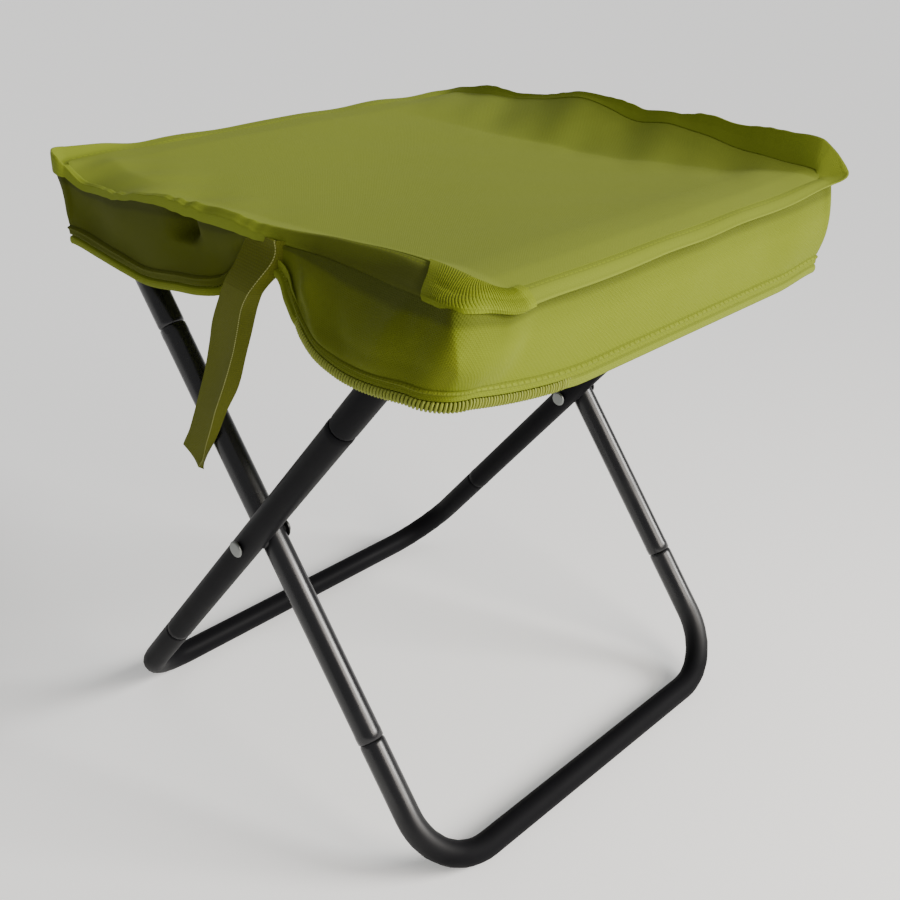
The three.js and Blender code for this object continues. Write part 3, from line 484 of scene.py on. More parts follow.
satin_black = coated_metal("satin black coat", (0.005, 0.005, 0.006), 0.5, grain=1400.0, bump=0.12,
                           specular=0.05)
gloss_black = coated_metal("gloss black coat", (0.004, 0.004, 0.005), 0.27, bump=0.01, specular=0.5,
                           matt_foot=0.4)
zinc = coated_metal("zinc plate", (0.22, 0.23, 0.22), 0.42, metallic=1.0, scuffs=0.3)
black_steel = coated_metal("black plate", (0.025, 0.025, 0.026), 0.4, metallic=0.6)
nylon = coated_metal("black nylon", (0.014, 0.014, 0.015), 0.55)
zip_enamel = coated_metal("enamelled slider", (0.19, 0.21, 0.04), 0.35, metallic=0.2, scuffs=0.4)
coil_nylon = coated_metal("zip coil nylon", (0.2, 0.23, 0.03), 0.55, bump=0.1, specular=0.15)
print("Materials in all:", len(bpy.data.materials))

# %% [markdown]
# ## Tubes
#
# A tube is a path with a round section. Each bend follows a curve and becomes a mesh. The path's numbers
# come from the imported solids: where the legs stand, how far the bars reach, and where a bend meets its
# leg.

# %% Frame sizes from the solids
TUBE_RADIUS = (y_span("leg_tube_a_near")[1] - y_span("leg_tube_a_near")[0]) / 2
LEG_ANGLE = math.radians(51.2)
REACH = {"foot": -224.0, "top": 225.5}
JOINT_REACH = 133.0
LEG_LINE = {leg: (y - MIDDLE.y) / MM for leg, y in LEG_Y.items()}
LEAN = {"a": 1, "b": -1}
PIVOT_HEIGHT = PIVOT_Z / MM
BAR_X = REACH["top"] * math.cos(LEG_ANGLE)
BAR_Z = PIVOT_HEIGHT + REACH["top"] * math.sin(LEG_ANGLE)
print("Tube radius", round(TUBE_RADIUS, 2), "top bars at", round(BAR_X, 1), round(BAR_Z, 1))


def on_loop(loop, y, up):
    """A point of a loop: y along the bars, and up along its legs from the pivot."""
    return at(LEAN[loop] * up * math.cos(LEG_ANGLE), y, PIVOT_HEIGHT + up * math.sin(LEG_ANGLE))


def pick(obj):
    bpy.ops.object.select_all(action="DESELECT")
    obj.select_set(True)
    bpy.context.view_layer.objects.active = obj


def smooth(angle):
    """Smooth shading, but for edges sharper than the angle in degrees."""
    bpy.ops.object.shade_smooth_by_angle(angle=math.radians(angle))


def tube_along(name, points, radii, sides=28):
    """A round tube through the points, as thick at each as its radius says."""
    bpy.ops.curve.primitive_nurbs_path_add(location=(0, 0, 0))
    path = bpy.context.object
    path.name = name
    path.data.splines.clear()
    spline = path.data.splines.new("POLY")
    spline.points.add(len(points) - 1)
    for knot, point, radius in zip(spline.points, points, radii):
        knot.co = (*point, 1)
        knot.radius = radius
    path.data.bevel_depth = MM
    path.data.bevel_resolution = sides // 4 - 1
    path.data.use_fill_caps = True
    path.data.dimensions = "3D"
    path.data.twist_mode = "MINIMUM"
    pick(path)
    bpy.ops.object.convert(target="MESH")
    smooth(40)
    return bpy.context.object


def finish_piece(piece, material, body=None, stands_for=()):
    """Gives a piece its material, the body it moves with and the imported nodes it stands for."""
    piece.data.materials.clear()
    piece.data.materials.append(material)
    if body:
        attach(piece, body)
    if stands_for:
        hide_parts(*stands_for)


# %% [markdown]
# A bend is a bar with a quarter turn at each end. Cold bending leaves the inside of each turn a little
# puckered, so the radius waves there by a few tenths. At the joint the leg tube ends in a shallow rolled
# edge, and the bend's end is drawn down to slip into it.

# %% Bends and legs
BEND_RADIUS = {"foot": 42.0, "top": 44.0}
BEND_STEPS = 14
PUCKER_HEIGHT, PUCKER_WAVES = 0.12, 22
# How far past the joint, and the tube's radius there.
BEND_START = ((-6, 6.4), (-0.2, 6.4), (0.3, TUBE_RADIUS - 0.75), (1.6, TUBE_RADIUS - 0.1), (3, TUBE_RADIUS))
LEG_START = ((-0.1, 6.9), (0, 7.6), (0.5, TUBE_RADIUS), (4.5, TUBE_RADIUS + 0.16), (6.5, TUBE_RADIUS))


def bend_points(loop, end):
    """One bend's points and radii: up from the near joint, round to the bar, and back to the far joint."""
    reach, radius = REACH[end], BEND_RADIUS[end]
    towards = math.copysign(1, reach)
    near, far = LEG_LINE[f"{loop}_near"], LEG_LINE[f"{loop}_far"]
    half = [(near, towards * (JOINT_REACH + past), thick) for past, thick in BEND_START]
    for i in range(BEND_STEPS + 1):
        turn = (i / BEND_STEPS) * math.pi / 2
        pucker = PUCKER_HEIGHT * math.sin(turn * 2) * math.cos(turn * PUCKER_WAVES)
        half.append((near + radius * (1 - math.cos(turn)), reach - towards * radius * (1 - math.sin(turn)),
                     TUBE_RADIUS + pucker))
    path = half + [(near + far - y, up, thick) for y, up, thick in reversed(half)]
    return [on_loop(loop, y, up) for y, up, _ in path], [thick for *_, thick in path]


for loop, metal, slot_name in (("a", satin_black, "tube_satin"), ("b", gloss_black, "tube_gloss")):
    body = f"frame_{loop}"
    for end in ("foot", "top"):
        bend = tube_along(f"{end}_bend_{loop}_tube", *bend_points(loop, end))
        finish_piece(bend, metal, body, [f"{end}_bend_{loop}"])
    for side in ("near", "far"):
        stations = [(past - JOINT_REACH, thick) for past, thick in LEG_START]
        stations += [(0.0, TUBE_RADIUS)] + [(-up, thick) for up, thick in reversed(stations)]
        line = LEG_LINE[f"{loop}_{side}"]
        leg = tube_along(f"leg_{loop}_{side}_tube", [on_loop(loop, line, up) for up, _ in stations],
                         [thick for _, thick in stations])
        finish_piece(leg, metal, body, [f"leg_tube_{loop}_{side}"])

# %% [markdown]
# ## Rivets and washers
#
# The rivet's head is a low dome against loop A, and its tail is spread over a washer on loop B. Each is
# turned like a small lathe piece: a cylinder whose rims a bevel rounds.

# %% Rivets and washers
HEAD_RADIUS, HEAD_HEIGHT, HEAD_EDGE = 5.0, 2.3, 1.5
TAIL_RADIUS, TAIL_HEIGHT, TAIL_EDGE = 4.2, 1.9, 1.1
SHANK_RADIUS, TAIL_LIFT = 2.9, 1.5
WASHERS = {"tail": 6.0, "pivot": 6.5}
WASHER_EDGE = 0.25
ROUND_SIDES = 40


def disc(name, radius, low_y, high_y, round_edge):
    """A round plate on the pivot's axis, from low_y to high_y, with its rims rounded."""
    bpy.ops.mesh.primitive_cylinder_add(vertices=ROUND_SIDES, radius=radius * MM, depth=(high_y - low_y) * MM,
                                        location=at(0, (low_y + high_y) / 2, PIVOT_HEIGHT),
                                        rotation=(math.pi / 2, 0, 0))
    plate = bpy.context.object
    plate.name = name
    bpy.ops.object.transform_apply(location=True, rotation=True, scale=True)
    rounded(plate, round_edge, 4)
    smooth(35)
    return plate


def rounded(piece, width, segments, angle=30):
    """Rounds every edge of the active piece that is sharper than the angle in degrees."""
    soften = piece.modifiers.new("rounded edges", "BEVEL")
    soften.width = width * MM
    soften.segments = segments
    soften.limit_method = "ANGLE"
    soften.angle_limit = math.radians(angle)
    bpy.ops.object.modifier_apply(modifier=soften.name)


for side in ("near", "far"):
    a_face, b_face = y_span(f"leg_tube_a_{side}")[0], y_span(f"leg_tube_b_{side}")[1]
    tail_low = b_face + TAIL_LIFT
    rivet = disc(f"pivot_rivet_{side}_turned", HEAD_RADIUS, a_face - HEAD_HEIGHT, a_face - 0.1, HEAD_EDGE)
    shank = disc(f"rivet_shank_{side}", SHANK_RADIUS, a_face - 0.4, tail_low, 0.1)
    tail = disc(f"rivet_tail_{side}", TAIL_RADIUS, tail_low, tail_low + TAIL_HEIGHT, TAIL_EDGE)
    pick(rivet)
    shank.select_set(True)
    tail.select_set(True)
    bpy.ops.object.join()
    finish_piece(rivet, zinc, "frame_a", [f"pivot_rivet_{side}"])
    for place, material, slot_name in (("tail", black_steel, "black_steel"), ("pivot", nylon, "black_nylon")):
        node = f"{place}_washer_{side}"
        washer = disc(f"{node}_rounded", WASHERS[place], *y_span(node), WASHER_EDGE)
        finish_piece(washer, material, "frame_a", [node])
print("A rivet reaches across", round(y_span("pivot_rivet_near")[1] - y_span("pivot_rivet_near")[0], 1), "mm")

# %% [markdown]
# ## A way to make cloth
#
# Cloth starts flat, as a grid, and each of its points is then moved to where the sheet hangs. The cover's
# folds are sewn in and always lie alike, so formulas place them, and no cloth is simulated. The grid's UV
# map is stretched to the cloth's real size, so that threads and stitches keep theirs. A solidify modifier
# gives it its thickness on the inside.


# %% Curves that shape cloth
def hermite(a, b, slope_a, slope_b, t):
    """A smooth way from a to b that leaves and arrives with the given slopes."""
    return ((2 * t**3 - 3 * t**2 + 1) * a + (t**3 - 2 * t**2 + t) * slope_a
            + (3 * t**2 - 2 * t**3) * b + (t**3 - t**2) * slope_b)


def smooth_curve(places, values, x):
    """A smooth line through given values, flat beyond its two ends."""
    if x <= places[0]:
        return values[0]
    if x >= places[-1]:
        return values[-1]
    i = max(k for k in range(len(places) - 1) if places[k] <= x)
    width = places[i + 1] - places[i]

    def slope(k):
        if k == 0 or k == len(places) - 1:
            return 0.0
        return (values[k + 1] - values[k - 1]) / (places[k + 1] - places[k - 1])

    return hermite(values[i], values[i + 1], width * slope(i), width * slope(i + 1), (x - places[i]) / width)


def ease(t):
    """From 0 to 1 as t goes from 0 to 1, with a soft start and stop."""
    t = min(1.0, max(0.0, t))
    return t * t * (3 - 2 * t)


def mix(a, b, t):
    return a + (b - a) * t


def hump(x, middle, width):
    """A round hump that is 1 in its middle and fades on both sides."""
    return math.exp(-(((x - middle) / width) ** 2))


print("A quarter and halfway up an ease:", ease(0.25), ease(0.5))


# %% Cloth from a grid
def merge_near_points(distance):
    """Merges the active mesh's points that are closer than this in mm, and stays in edit mode."""
    bpy.ops.object.mode_set(mode="EDIT")
    bpy.ops.mesh.select_all(action="SELECT")
    bpy.ops.mesh.remove_doubles(threshold=distance * MM)


def cloth(name, columns, rows, place, size, thickness=1.2, closed=False, rows_at=None):
    """A sheet of columns by rows faces. place(u, v) gives each point in mm, and size its cut in metres."""
    bpy.ops.mesh.primitive_grid_add(x_subdivisions=columns, y_subdivisions=rows, size=2, location=(0, 0, 0))
    sheet = bpy.context.object
    sheet.name = name
    for corner in sheet.data.uv_layers.active.data:
        up = rows_at(corner.uv[1]) if rows_at else corner.uv[1]
        corner.uv = (corner.uv[0] * size[0], up * size[1])
    for vertex in sheet.data.vertices:
        vertex.co = at(*place((vertex.co.x + 1) / 2, (vertex.co.y + 1) / 2))
    if closed:
        merge_near_points(0.02)
        bpy.ops.object.mode_set(mode="OBJECT")
    wall = sheet.modifiers.new("thickness", "SOLIDIFY")
    wall.thickness = thickness * MM
    wall.offset = -1
    bpy.ops.object.modifier_apply(modifier=wall.name)
    smooth(50)
    return sheet


def folds_with_frame(sheet):
    """Bakes the sheet's placement into its mesh."""
    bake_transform(sheet)


# %% [markdown]
# ## The seat
#
# The seat is pulled tight between the two top bars and sags a little in the middle. It is longer than the
# bars are straight, so past a crease at each end it hangs free: at the near left it drops to the rim, and
# at the far end it stands up towards it, highest near the fold. The tables hold the places of its
# stitched edge.

# %% The lines of the seat
SEAT_TOP, SEAT_SAG = 371.0, 9.5
RIGHT_DROP, RIGHT_DROP_START, RIGHT_DROP_WIDTH = 5.0, 118, 35
DROP_CURVE, NEAR_CURVE, FAR_CURVE = 1.7, 1.3, 1.2
SEAT_LEFT, SEAT_RIGHT, FAR_EDGE_Y = -157.0, 153.0, 168.0
CORNER_RADIUS = {"near_right": 13.0, "far_right": 5.0, "far_left": 12.0, "near_left": 7.0}
NEAR_X = (-157, -148, -131, -108, -88, -71, -55, -36, -19, -1, 14, 30, 47, 65, 81, 98, 115, 130, 146, 153)
NEAR_EDGE_Y = (-152, -151.5, -149.5, -148.5, -147.5, -145.5, -142.5, -138.5, -136, -133, -129.5, -126.5,
               -124.5, -123.5, -122.5, -122.5, -123, -124.5, -127, -130)
NEAR_EDGE_Z = (371, 366, 361.5, 362, 364.8, 366.5, 367.3, 367.5, 367.2, 366.8, 366.4, 366.8, 367.9, 368.8,
               370, 371, 371.3, 371.2, 370.8, 370)
NEAR_CREASE_X = (-157, -120, -75, -40, -10, 20, 60, 110, 153)
NEAR_CREASE_Y = (-126, -130, -126, -120, -114, -110, -108, -110, -114)
FAR_X = (-157, -146, -101, -73, -46, -20, 14, 45, 68, 98, 126, 147, 157)
FAR_EDGE_Z = (371, 373, 377, 380, 384, 386, 380, 381, 379, 376, 373, 371, 369)
FAR_CREASE_X = (-157, -105, -55, -10, 35, 85, 120, 157)
FAR_CREASE_Y = (92, 108, 119, 127, 132, 143, 154, 163)
print("Places read along the near edge:", len(NEAR_X))


# %% The seat's surface
def near_edge(x):
    return smooth_curve(NEAR_X, NEAR_EDGE_Y, x)


def seat_height(x, y):
    """The seat's height: its sag between the bars, and past a crease the way to its edge."""
    level = SEAT_TOP - SEAT_SAG * max(0.0, 1 - (x / BAR_X) ** 2)
    level -= RIGHT_DROP * max(0.0, (x - RIGHT_DROP_START) / RIGHT_DROP_WIDTH) ** DROP_CURVE
    near_crease = smooth_curve(NEAR_CREASE_X, NEAR_CREASE_Y, x)
    past_near = (near_crease - y) / (near_crease - near_edge(x))
    if past_near > 0:
        return mix(level, smooth_curve(NEAR_X, NEAR_EDGE_Z, x), min(1, past_near) ** NEAR_CURVE)
    far_crease = smooth_curve(FAR_CREASE_X, FAR_CREASE_Y, x)
    past_far = (y - far_crease) / (FAR_EDGE_Y - far_crease)
    if past_far > 0:
        return mix(level, smooth_curve(FAR_X, FAR_EDGE_Z, x), min(1, past_far) ** FAR_CURVE)
    return level


def ripple(x, y, length, slant, phase=0.0):
    return math.sin((x + slant * y) * 2 * math.pi / length + phase + 0.8 * math.sin(y / 47 + phase))


def wrinkles(x, y):
    """Soft folds of a cloth that has been folded away many times."""
    near_end = ease((-y - 80) / 45) * ease((25 - x) / 70)
    far_end = ease((y - 100) / 40)
    soft = 0.3 * ripple(x, y, 190, 0.4) + 0.2 * ripple(x, y, 83, -0.9, 2.0)
    gathers = near_end * (0.5 * ripple(x, y, 61, 0.6, 1.0) + 0.25 * ripple(x, y, 27, -0.5))
    gathers += far_end * (0.7 * ripple(x, y, 88, 0.3, 1.2) + 0.3 * ripple(x, y, 37, 0.5))
    return soft + gathers


def corner_cut(half, y):
    """How far the seat's left or right edge stands in at y, because its corners are round."""
    near, far = CORNER_RADIUS[f"near_{half}"], CORNER_RADIUS[f"far_{half}"]
    low = NEAR_EDGE_Y[0] if half == "left" else NEAR_EDGE_Y[-1]
    radius, into = (near, low + near - y) if y < 0 else (far, y - (FAR_EDGE_Y - far))
    into = min(radius, max(0.0, into))
    return radius - math.sqrt(radius**2 - into**2)


def seat_point(u, v):
    y = mix(near_edge(mix(SEAT_LEFT, SEAT_RIGHT, u)), FAR_EDGE_Y, v)
    x = mix(SEAT_LEFT + corner_cut("left", y), SEAT_RIGHT - corner_cut("right", y), u)
    y = mix(near_edge(x), FAR_EDGE_Y, v)
    return x, y, seat_height(x, y) + wrinkles(x, y)


seat = cloth("seat_cloth", 150, 150, seat_point, (0.316, 0.315))
folds_with_frame(seat)
finish_piece(seat, seat_canvas, stands_for=["seat_panel_right", "seat_panel_left"])
print("Seat made, faces:", len(seat.data.polygons))

# %% [markdown]
# ## The rim
#
# The seam between the seat and the walls is bound into a rim. It is one band that runs round the seat,
# and it changes as it goes: rolled up at the near left, flat and hanging outward along the right side,
# standing up at the far end. Each row of the table is one section of it, and the band is lofted through
# all of them.

# %% The rim's line round the seat
RIM_STEPS = {"near": 110, "near_right": 16, "right": 90, "far_right": 16, "far": 110, "far_left": 12,
             "left": 90, "near_left": 16}
RUNS = [run for run, steps in RIM_STEPS.items() for _ in range(steps)]


def way_round(run, share):
    """A place on the rim, given as a share of one of its runs, as a share of the whole way round."""
    return (RUNS.index(run) + share * RIM_STEPS[run]) / len(RUNS)


def run_ends():
    """Where the straight runs of the seat's edge start and end: x along the ends, y along the sides."""
    r = CORNER_RADIUS
    near = (SEAT_LEFT + r["near_left"], SEAT_RIGHT - r["near_right"])
    far = (SEAT_RIGHT - r["far_right"], SEAT_LEFT + r["far_left"])
    right = (near_edge(near[1]) + r["near_right"], FAR_EDGE_Y - r["far_right"])
    left = (FAR_EDGE_Y - r["far_left"], near_edge(near[0]) + r["near_left"])
    return {"near": near, "right": right, "far": far, "left": left}


def seat_outline():
    """Places round the seat's edge, anticlockwise from its near left, each with the direction out there."""
    ends = run_ends()
    corners = {"near_right": (ends["near"][1], ends["right"][0], -90),
               "far_right": (ends["far"][0], ends["right"][1], 0),
               "far_left": (ends["far"][1], ends["left"][0], 90),
               "near_left": (ends["near"][0], ends["left"][1], 180)}
    places = []
    for run, steps in RIM_STEPS.items():
        for t in (i / steps for i in range(steps)):
            if run in corners:
                x, y, start = corners[run]
                way, radius = math.radians(start + 90 * t), CORNER_RADIUS[run]
                places.append((x + radius * math.cos(way), y + radius * math.sin(way), start + 90 * t))
                continue
            along = mix(*ends[run], t)
            places.append({"near": (along, near_edge(along), -90), "right": (SEAT_RIGHT, along, 0),
                           "far": (along, FAR_EDGE_Y, 90), "left": (SEAT_LEFT, along, 180)}[run])
    return places


outline = seat_outline()
print("Places round the seat:", len(outline))

# %% The rim's sections
# Each has a share of its run, then points from the seat's edge to the underside: mm out and mm up.
SEAM = (-1.5, -0.3)
RIM_SECTIONS = {
    "near": [
        (0.00, (0.6, 1.6), (3.2, 0.8), (4.2, -4.2)),
        (0.12, (0.6, 1.4), (3.0, 0.4), (3.8, -2.6)),
        (0.25, (0.6, 1.8), (3.2, 0.6), (4.0, -3.0)),
        (0.34, (0.7, 1.8), (3.8, -0.4), (4.4, -5.2)),
        (0.40, (0.8, 1.6), (4.4, -2.2), (5.0, -7.0)),
        (0.50, (1.0, 0.7), (4.6, -3.4), (5.0, -7.4)),
        (0.60, (1.5, -0.5), (4.4, -7.0), (3.6, -8.6)),
        (0.72, (1.8, -0.9), (6.4, -9.4), (5.2, -11.0)),
        (0.84, (3.6, -1.4), (12.0, -10.8), (10.4, -12.2)),
        (0.93, (7.0, -1.8), (18.6, -8.0), (16.8, -9.6)),
        (1.00, (8.4, -1.6), (21.2, -5.8), (19.4, -7.6)),
    ],
    "near_right": [
        (0.25, (9.0, -1.2), (22.6, -4.4), (20.6, -6.4)),
        (0.50, (6.0, -1.2), (13.6, -4.8), (11.2, -6.8)),
        (0.80, (4.4, -1.4), (9.6, -6.0), (7.2, -8.0)),
    ],
    "right": [
        (0.08, (3.8, -1.3), (8.8, -6.0), (3.6, -6.8)),
        (0.20, (3.8, -1.4), (8.4, -6.2), (3.2, -7.0)),
        (0.50, (4.0, -1.2), (8.6, -5.0), (3.2, -6.0)),
        (0.85, (4.0, -0.8), (9.0, -4.0), (3.6, -5.0)),
        (1.00, (4.4, 0.2), (10.0, -1.6), (5.0, -3.4)),
    ],
    "far_right": [
        (0.36, (7.0, 0.2), (16.6, 1.8), (8.0, -3.0)),
        (0.52, (4.4, 4.4), (10.6, 9.8), (8.0, -3.0)),
        (0.70, (2.0, 6.4), (6.4, 13.6), (7.0, -4.0)),
    ],
    "far": [
        (0.01, (0.8, 8.0), (3.8, 16.0), (6.0, -4.0)),
        (0.10, (0.5, 8.0), (2.6, 15.6), (5.0, -4.0)),
        (0.20, (0.5, 6.0), (2.4, 11.6), (4.5, -5.0)),
        (0.28, (0.5, 5.0), (2.4, 10.4), (4.5, -5.0)),
        (0.34, (0.4, 3.0), (2.2, 5.8), (4.0, -5.0)),
        (0.42, (0.4, 3.4), (2.2, 6.2), (4.0, -5.0)),
        (0.47, (0.4, 4.0), (2.2, 7.8), (4.0, -5.0)),
        (0.55, (0.3, 1.6), (1.8, 3.8), (4.0, -5.0)),
        (0.70, (0.3, 0.8), (1.8, 1.6), (4.0, -5.0)),
        (0.82, (0.3, 1.4), (1.8, 3.2), (4.0, -5.0)),
        (0.92, (0.3, 2.2), (2.0, 4.8), (4.0, -5.0)),
        (1.00, (1.0, 1.4), (4.0, 2.4), (4.5, -4.0)),
    ],
    "left": [
        (0.05, (3.0, 0.3), (8.6, 0.2), (6.6, -2.0)),
        (0.82, (3.0, 0.6), (9.0, 0.8), (7.0, -2.0)),
        (0.93, (4.6, 0.8), (8.6, 3.8), (8.0, -3.0)),
    ],
    "near_left": [
        (0.15, (5.6, 0.2), (9.8, 6.4), (9.4, -4.0)),
        (0.50, (5.0, -0.4), (9.4, 6.6), (9.8, -4.4)),
        (0.85, (2.8, 0.4), (6.4, 5.2), (7.0, -4.4)),
    ],
}
sections = [(way_round(run, share), (SEAM, *points)) for run, rows in RIM_SECTIONS.items()
            for share, *points in rows]
section_places = [sections[-1][0] - 1, *(place for place, _ in sections), sections[0][0] + 1]
section_points = [sections[-1][1], *(points for _, points in sections), sections[0][1]]
ROLL_STOPS = (0.0, 0.42, 0.84, 1.0)
FINE_WAVE, LONG_WAVE, CALM_RIM = 0.7, 0.75, 0.3
BEAD_HEIGHT, BEAD_PLACE, BEAD_WIDTH = 0.5, 0.78, 0.07
print("Sections of the rim:", len(sections))


# %% The rim, lofted through its sections
def rim_section(share):
    """The rim's section at a share of the way round: its root, the way out and its four points."""
    share %= 1.0
    spot = share * len(outline)
    i = int(spot) % len(outline)
    here, after = outline[i], outline[(i + 1) % len(outline)]
    t = spot - int(spot)
    turn_to = after[2] + 360 if after[2] < here[2] - 180 else after[2]
    x, y = mix(here[0], after[0], t), mix(here[1], after[1], t)
    way = math.radians(mix(here[2], turn_to, t))
    root = Vector((x, y, seat_height(x, y) + wrinkles(x, y)))
    points = [[smooth_curve(section_places, [row[p][axis] for row in section_points], share)
               for axis in (0, 1)] for p in range(4)]
    rolled = ease((18 - x) / 30) if RUNS[i] == "near" else CALM_RIM
    wave = FINE_WAVE * math.sin(x / 2.2 + y / 9 + 2.2 * math.sin(x / 9)) * math.sin(x / 17 + 1)
    wave = rolled * (wave + LONG_WAVE * math.sin(x / 7.9 + y / 13 + 2 + math.sin(x / 23)))
    for p, share_of_wave in ((1, 1.0), (2, 1.0), (3, 0.5)):
        points[p][1] += wave * share_of_wave
    return root, Vector((math.cos(way), math.sin(way), 0)), points


section_memory = {}


def rim_point(u, v, proud=0.0):
    """A point of the rim: u round the seat and v from the seam over the edge to the underside."""
    key = round(u, 6)
    if key not in section_memory:
        section_memory[key] = rim_section(u)
    root, out, points = section_memory[key]
    k = 0 if v < ROLL_STOPS[1] else 1 if v < ROLL_STOPS[2] else 2
    t = (v - ROLL_STOPS[k]) / (ROLL_STOPS[k + 1] - ROLL_STOPS[k])
    before, a, b, after = (points[max(0, min(3, k + j))] for j in (-1, 0, 1, 2))
    place, slope = [], []
    for n in (0, 1):
        leave, arrive = 0.5 * (b[n] - before[n]), 0.5 * (after[n] - a[n])
        place.append(hermite(a[n], b[n], leave, arrive, t))
        slope.append((6 * t**2 - 6 * t) * a[n] + (3 * t**2 - 4 * t + 1) * leave
                     + (6 * t - 6 * t**2) * b[n] + (3 * t**2 - 2 * t) * arrive)
    size = math.hypot(*slope) or 1.0
    across, up = place[0] - proud * slope[1] / size, place[1] + proud * slope[0] / size
    return root + out * across + Vector((0, 0, up))


def bound_edge(u, v):
    """The rim with a thin bead where its binding is sewn down."""
    return rim_point(1 - u, v, BEAD_HEIGHT * hump(v, BEAD_PLACE, BEAD_WIDTH))


rim = cloth("rim_binding", 520, 24, bound_edge, (1.28, 0.02), thickness=0.9, closed=True)
folds_with_frame(rim)
finish_piece(rim, edge_canvas, stands_for=["rim_band_right", "rim_band_left"])
print("Rim made, faces:", len(rim.data.polygons))

# %% [markdown]
# A ladder-ribbed webbing is sewn over the rim round the front corner. Its ribs are raised in the mesh,
# because they catch the light one by one.

# %% Corner webbing
WEBBING_START, WEBBING_END = way_round("near", 0.9), way_round("right", 0.02)
WEBBING_LOW, WEBBING_HIGH = 0.08, 0.9
WEBBING_PROUD, RIB_HEIGHT, MIDDLE_DIP = 1.2, 0.3, 0.4
RIBS, SLANT = 46, 0.015


def webbing_point(u, v):
    rib = abs(math.sin(math.pi * RIBS * u)) ** 0.6
    flat_end = min(1.0, 12 * u) * ease((0.97 - u) / 0.16)
    flat_side = min(1.0, 8 * min(v, 1 - v) + 0.3)
    rise = WEBBING_PROUD + (RIB_HEIGHT * rib - MIDDLE_DIP * hump(v, 0.6, 0.05)) * flat_end * flat_side
    way = mix(WEBBING_END, WEBBING_START, u) + SLANT * u * v
    return rim_point(way, mix(WEBBING_LOW, WEBBING_HIGH, v), rise)


webbing = cloth("corner_webbing", 8 * RIBS, 18, webbing_point, (0.092, 0.022), thickness=0.5)
folds_with_frame(webbing)
finish_piece(webbing, corner_webbing)
print("Webbing made, ribs:", RIBS)

# %% [markdown]
# ## The walls
#
# Each half of the cover has one long wall. It starts beside the strap, runs along the near end and round
# the corner, along the side, and back along the far end to the fold. Its lower edge carries the zip. The
# line of that edge and the line under the rim are made together, so that each place below has its place
# above.

# %% The walls' two lines
WALLS = {
    1: {
        "reach": 156.0, "corner": 20.0, "far_corner": 5.0,
        "x": (18, 33, 50, 70, 91, 106, 120, 133, 147),
        "y": (-139, -145, -152, -159, -163, -164, -163.5, -162.3, -160),
        "z": (343, 335, 327, 321, 318.5, 318, 318.5, 319.5, 320),
    },
    -1: {
        "reach": 159.0, "corner": 6.0, "far_corner": 6.0,
        "x": (4, 12, 20, 28, 40, 57, 83, 104, 127, 152),
        "y": (-126, -129, -134, -138, -144, -147, -150, -152, -153, -154),
        "z": (350, 340, 328, 321, 318.5, 317, 314.5, 317, 320, 323),
    },
}
SIDE_FOOT = 305.0
FAR_END = {"x": (18, 35, 60, 90, 120, 150),
           "y": (155, 161, 169, 174, 175, 175),
           "z": (345, 333, 319, 311, 308, 308)}
WALL_STEPS = {"near": 80, "corner": 24, "side": 100, "far_corner": 14, "far": 60}
HALVES = ((1, "right"), (-1, "left"))
CORNER_DROP, FAR_LIFT, FAR_LIFT_START = 2.0, 3.0, 128
LIFT_END, LIFT_CURVE = {1: -55, -1: -108}, 1.7
BEHIND_RIM, ABOVE_RIM_EDGE = 0.9, 1.2
print("Steps along one wall:", sum(WALL_STEPS.values()))


# %% Stations along each wall
def edge_at(table, x):
    """The zip edge's y and z at an x, read from its table."""
    return [smooth_curve(table["x"], table[axis], x) for axis in "yz"]


def under_rim(run, share):
    """Where the wall's top is sewn, just behind the rim's lower edge."""
    root, out, points = rim_section(way_round(run, min(1.0, max(0.0, share))))
    return root + out * (points[3][0] - BEHIND_RIM) + Vector((0, 0, points[3][1] + ABOVE_RIM_EDGE))


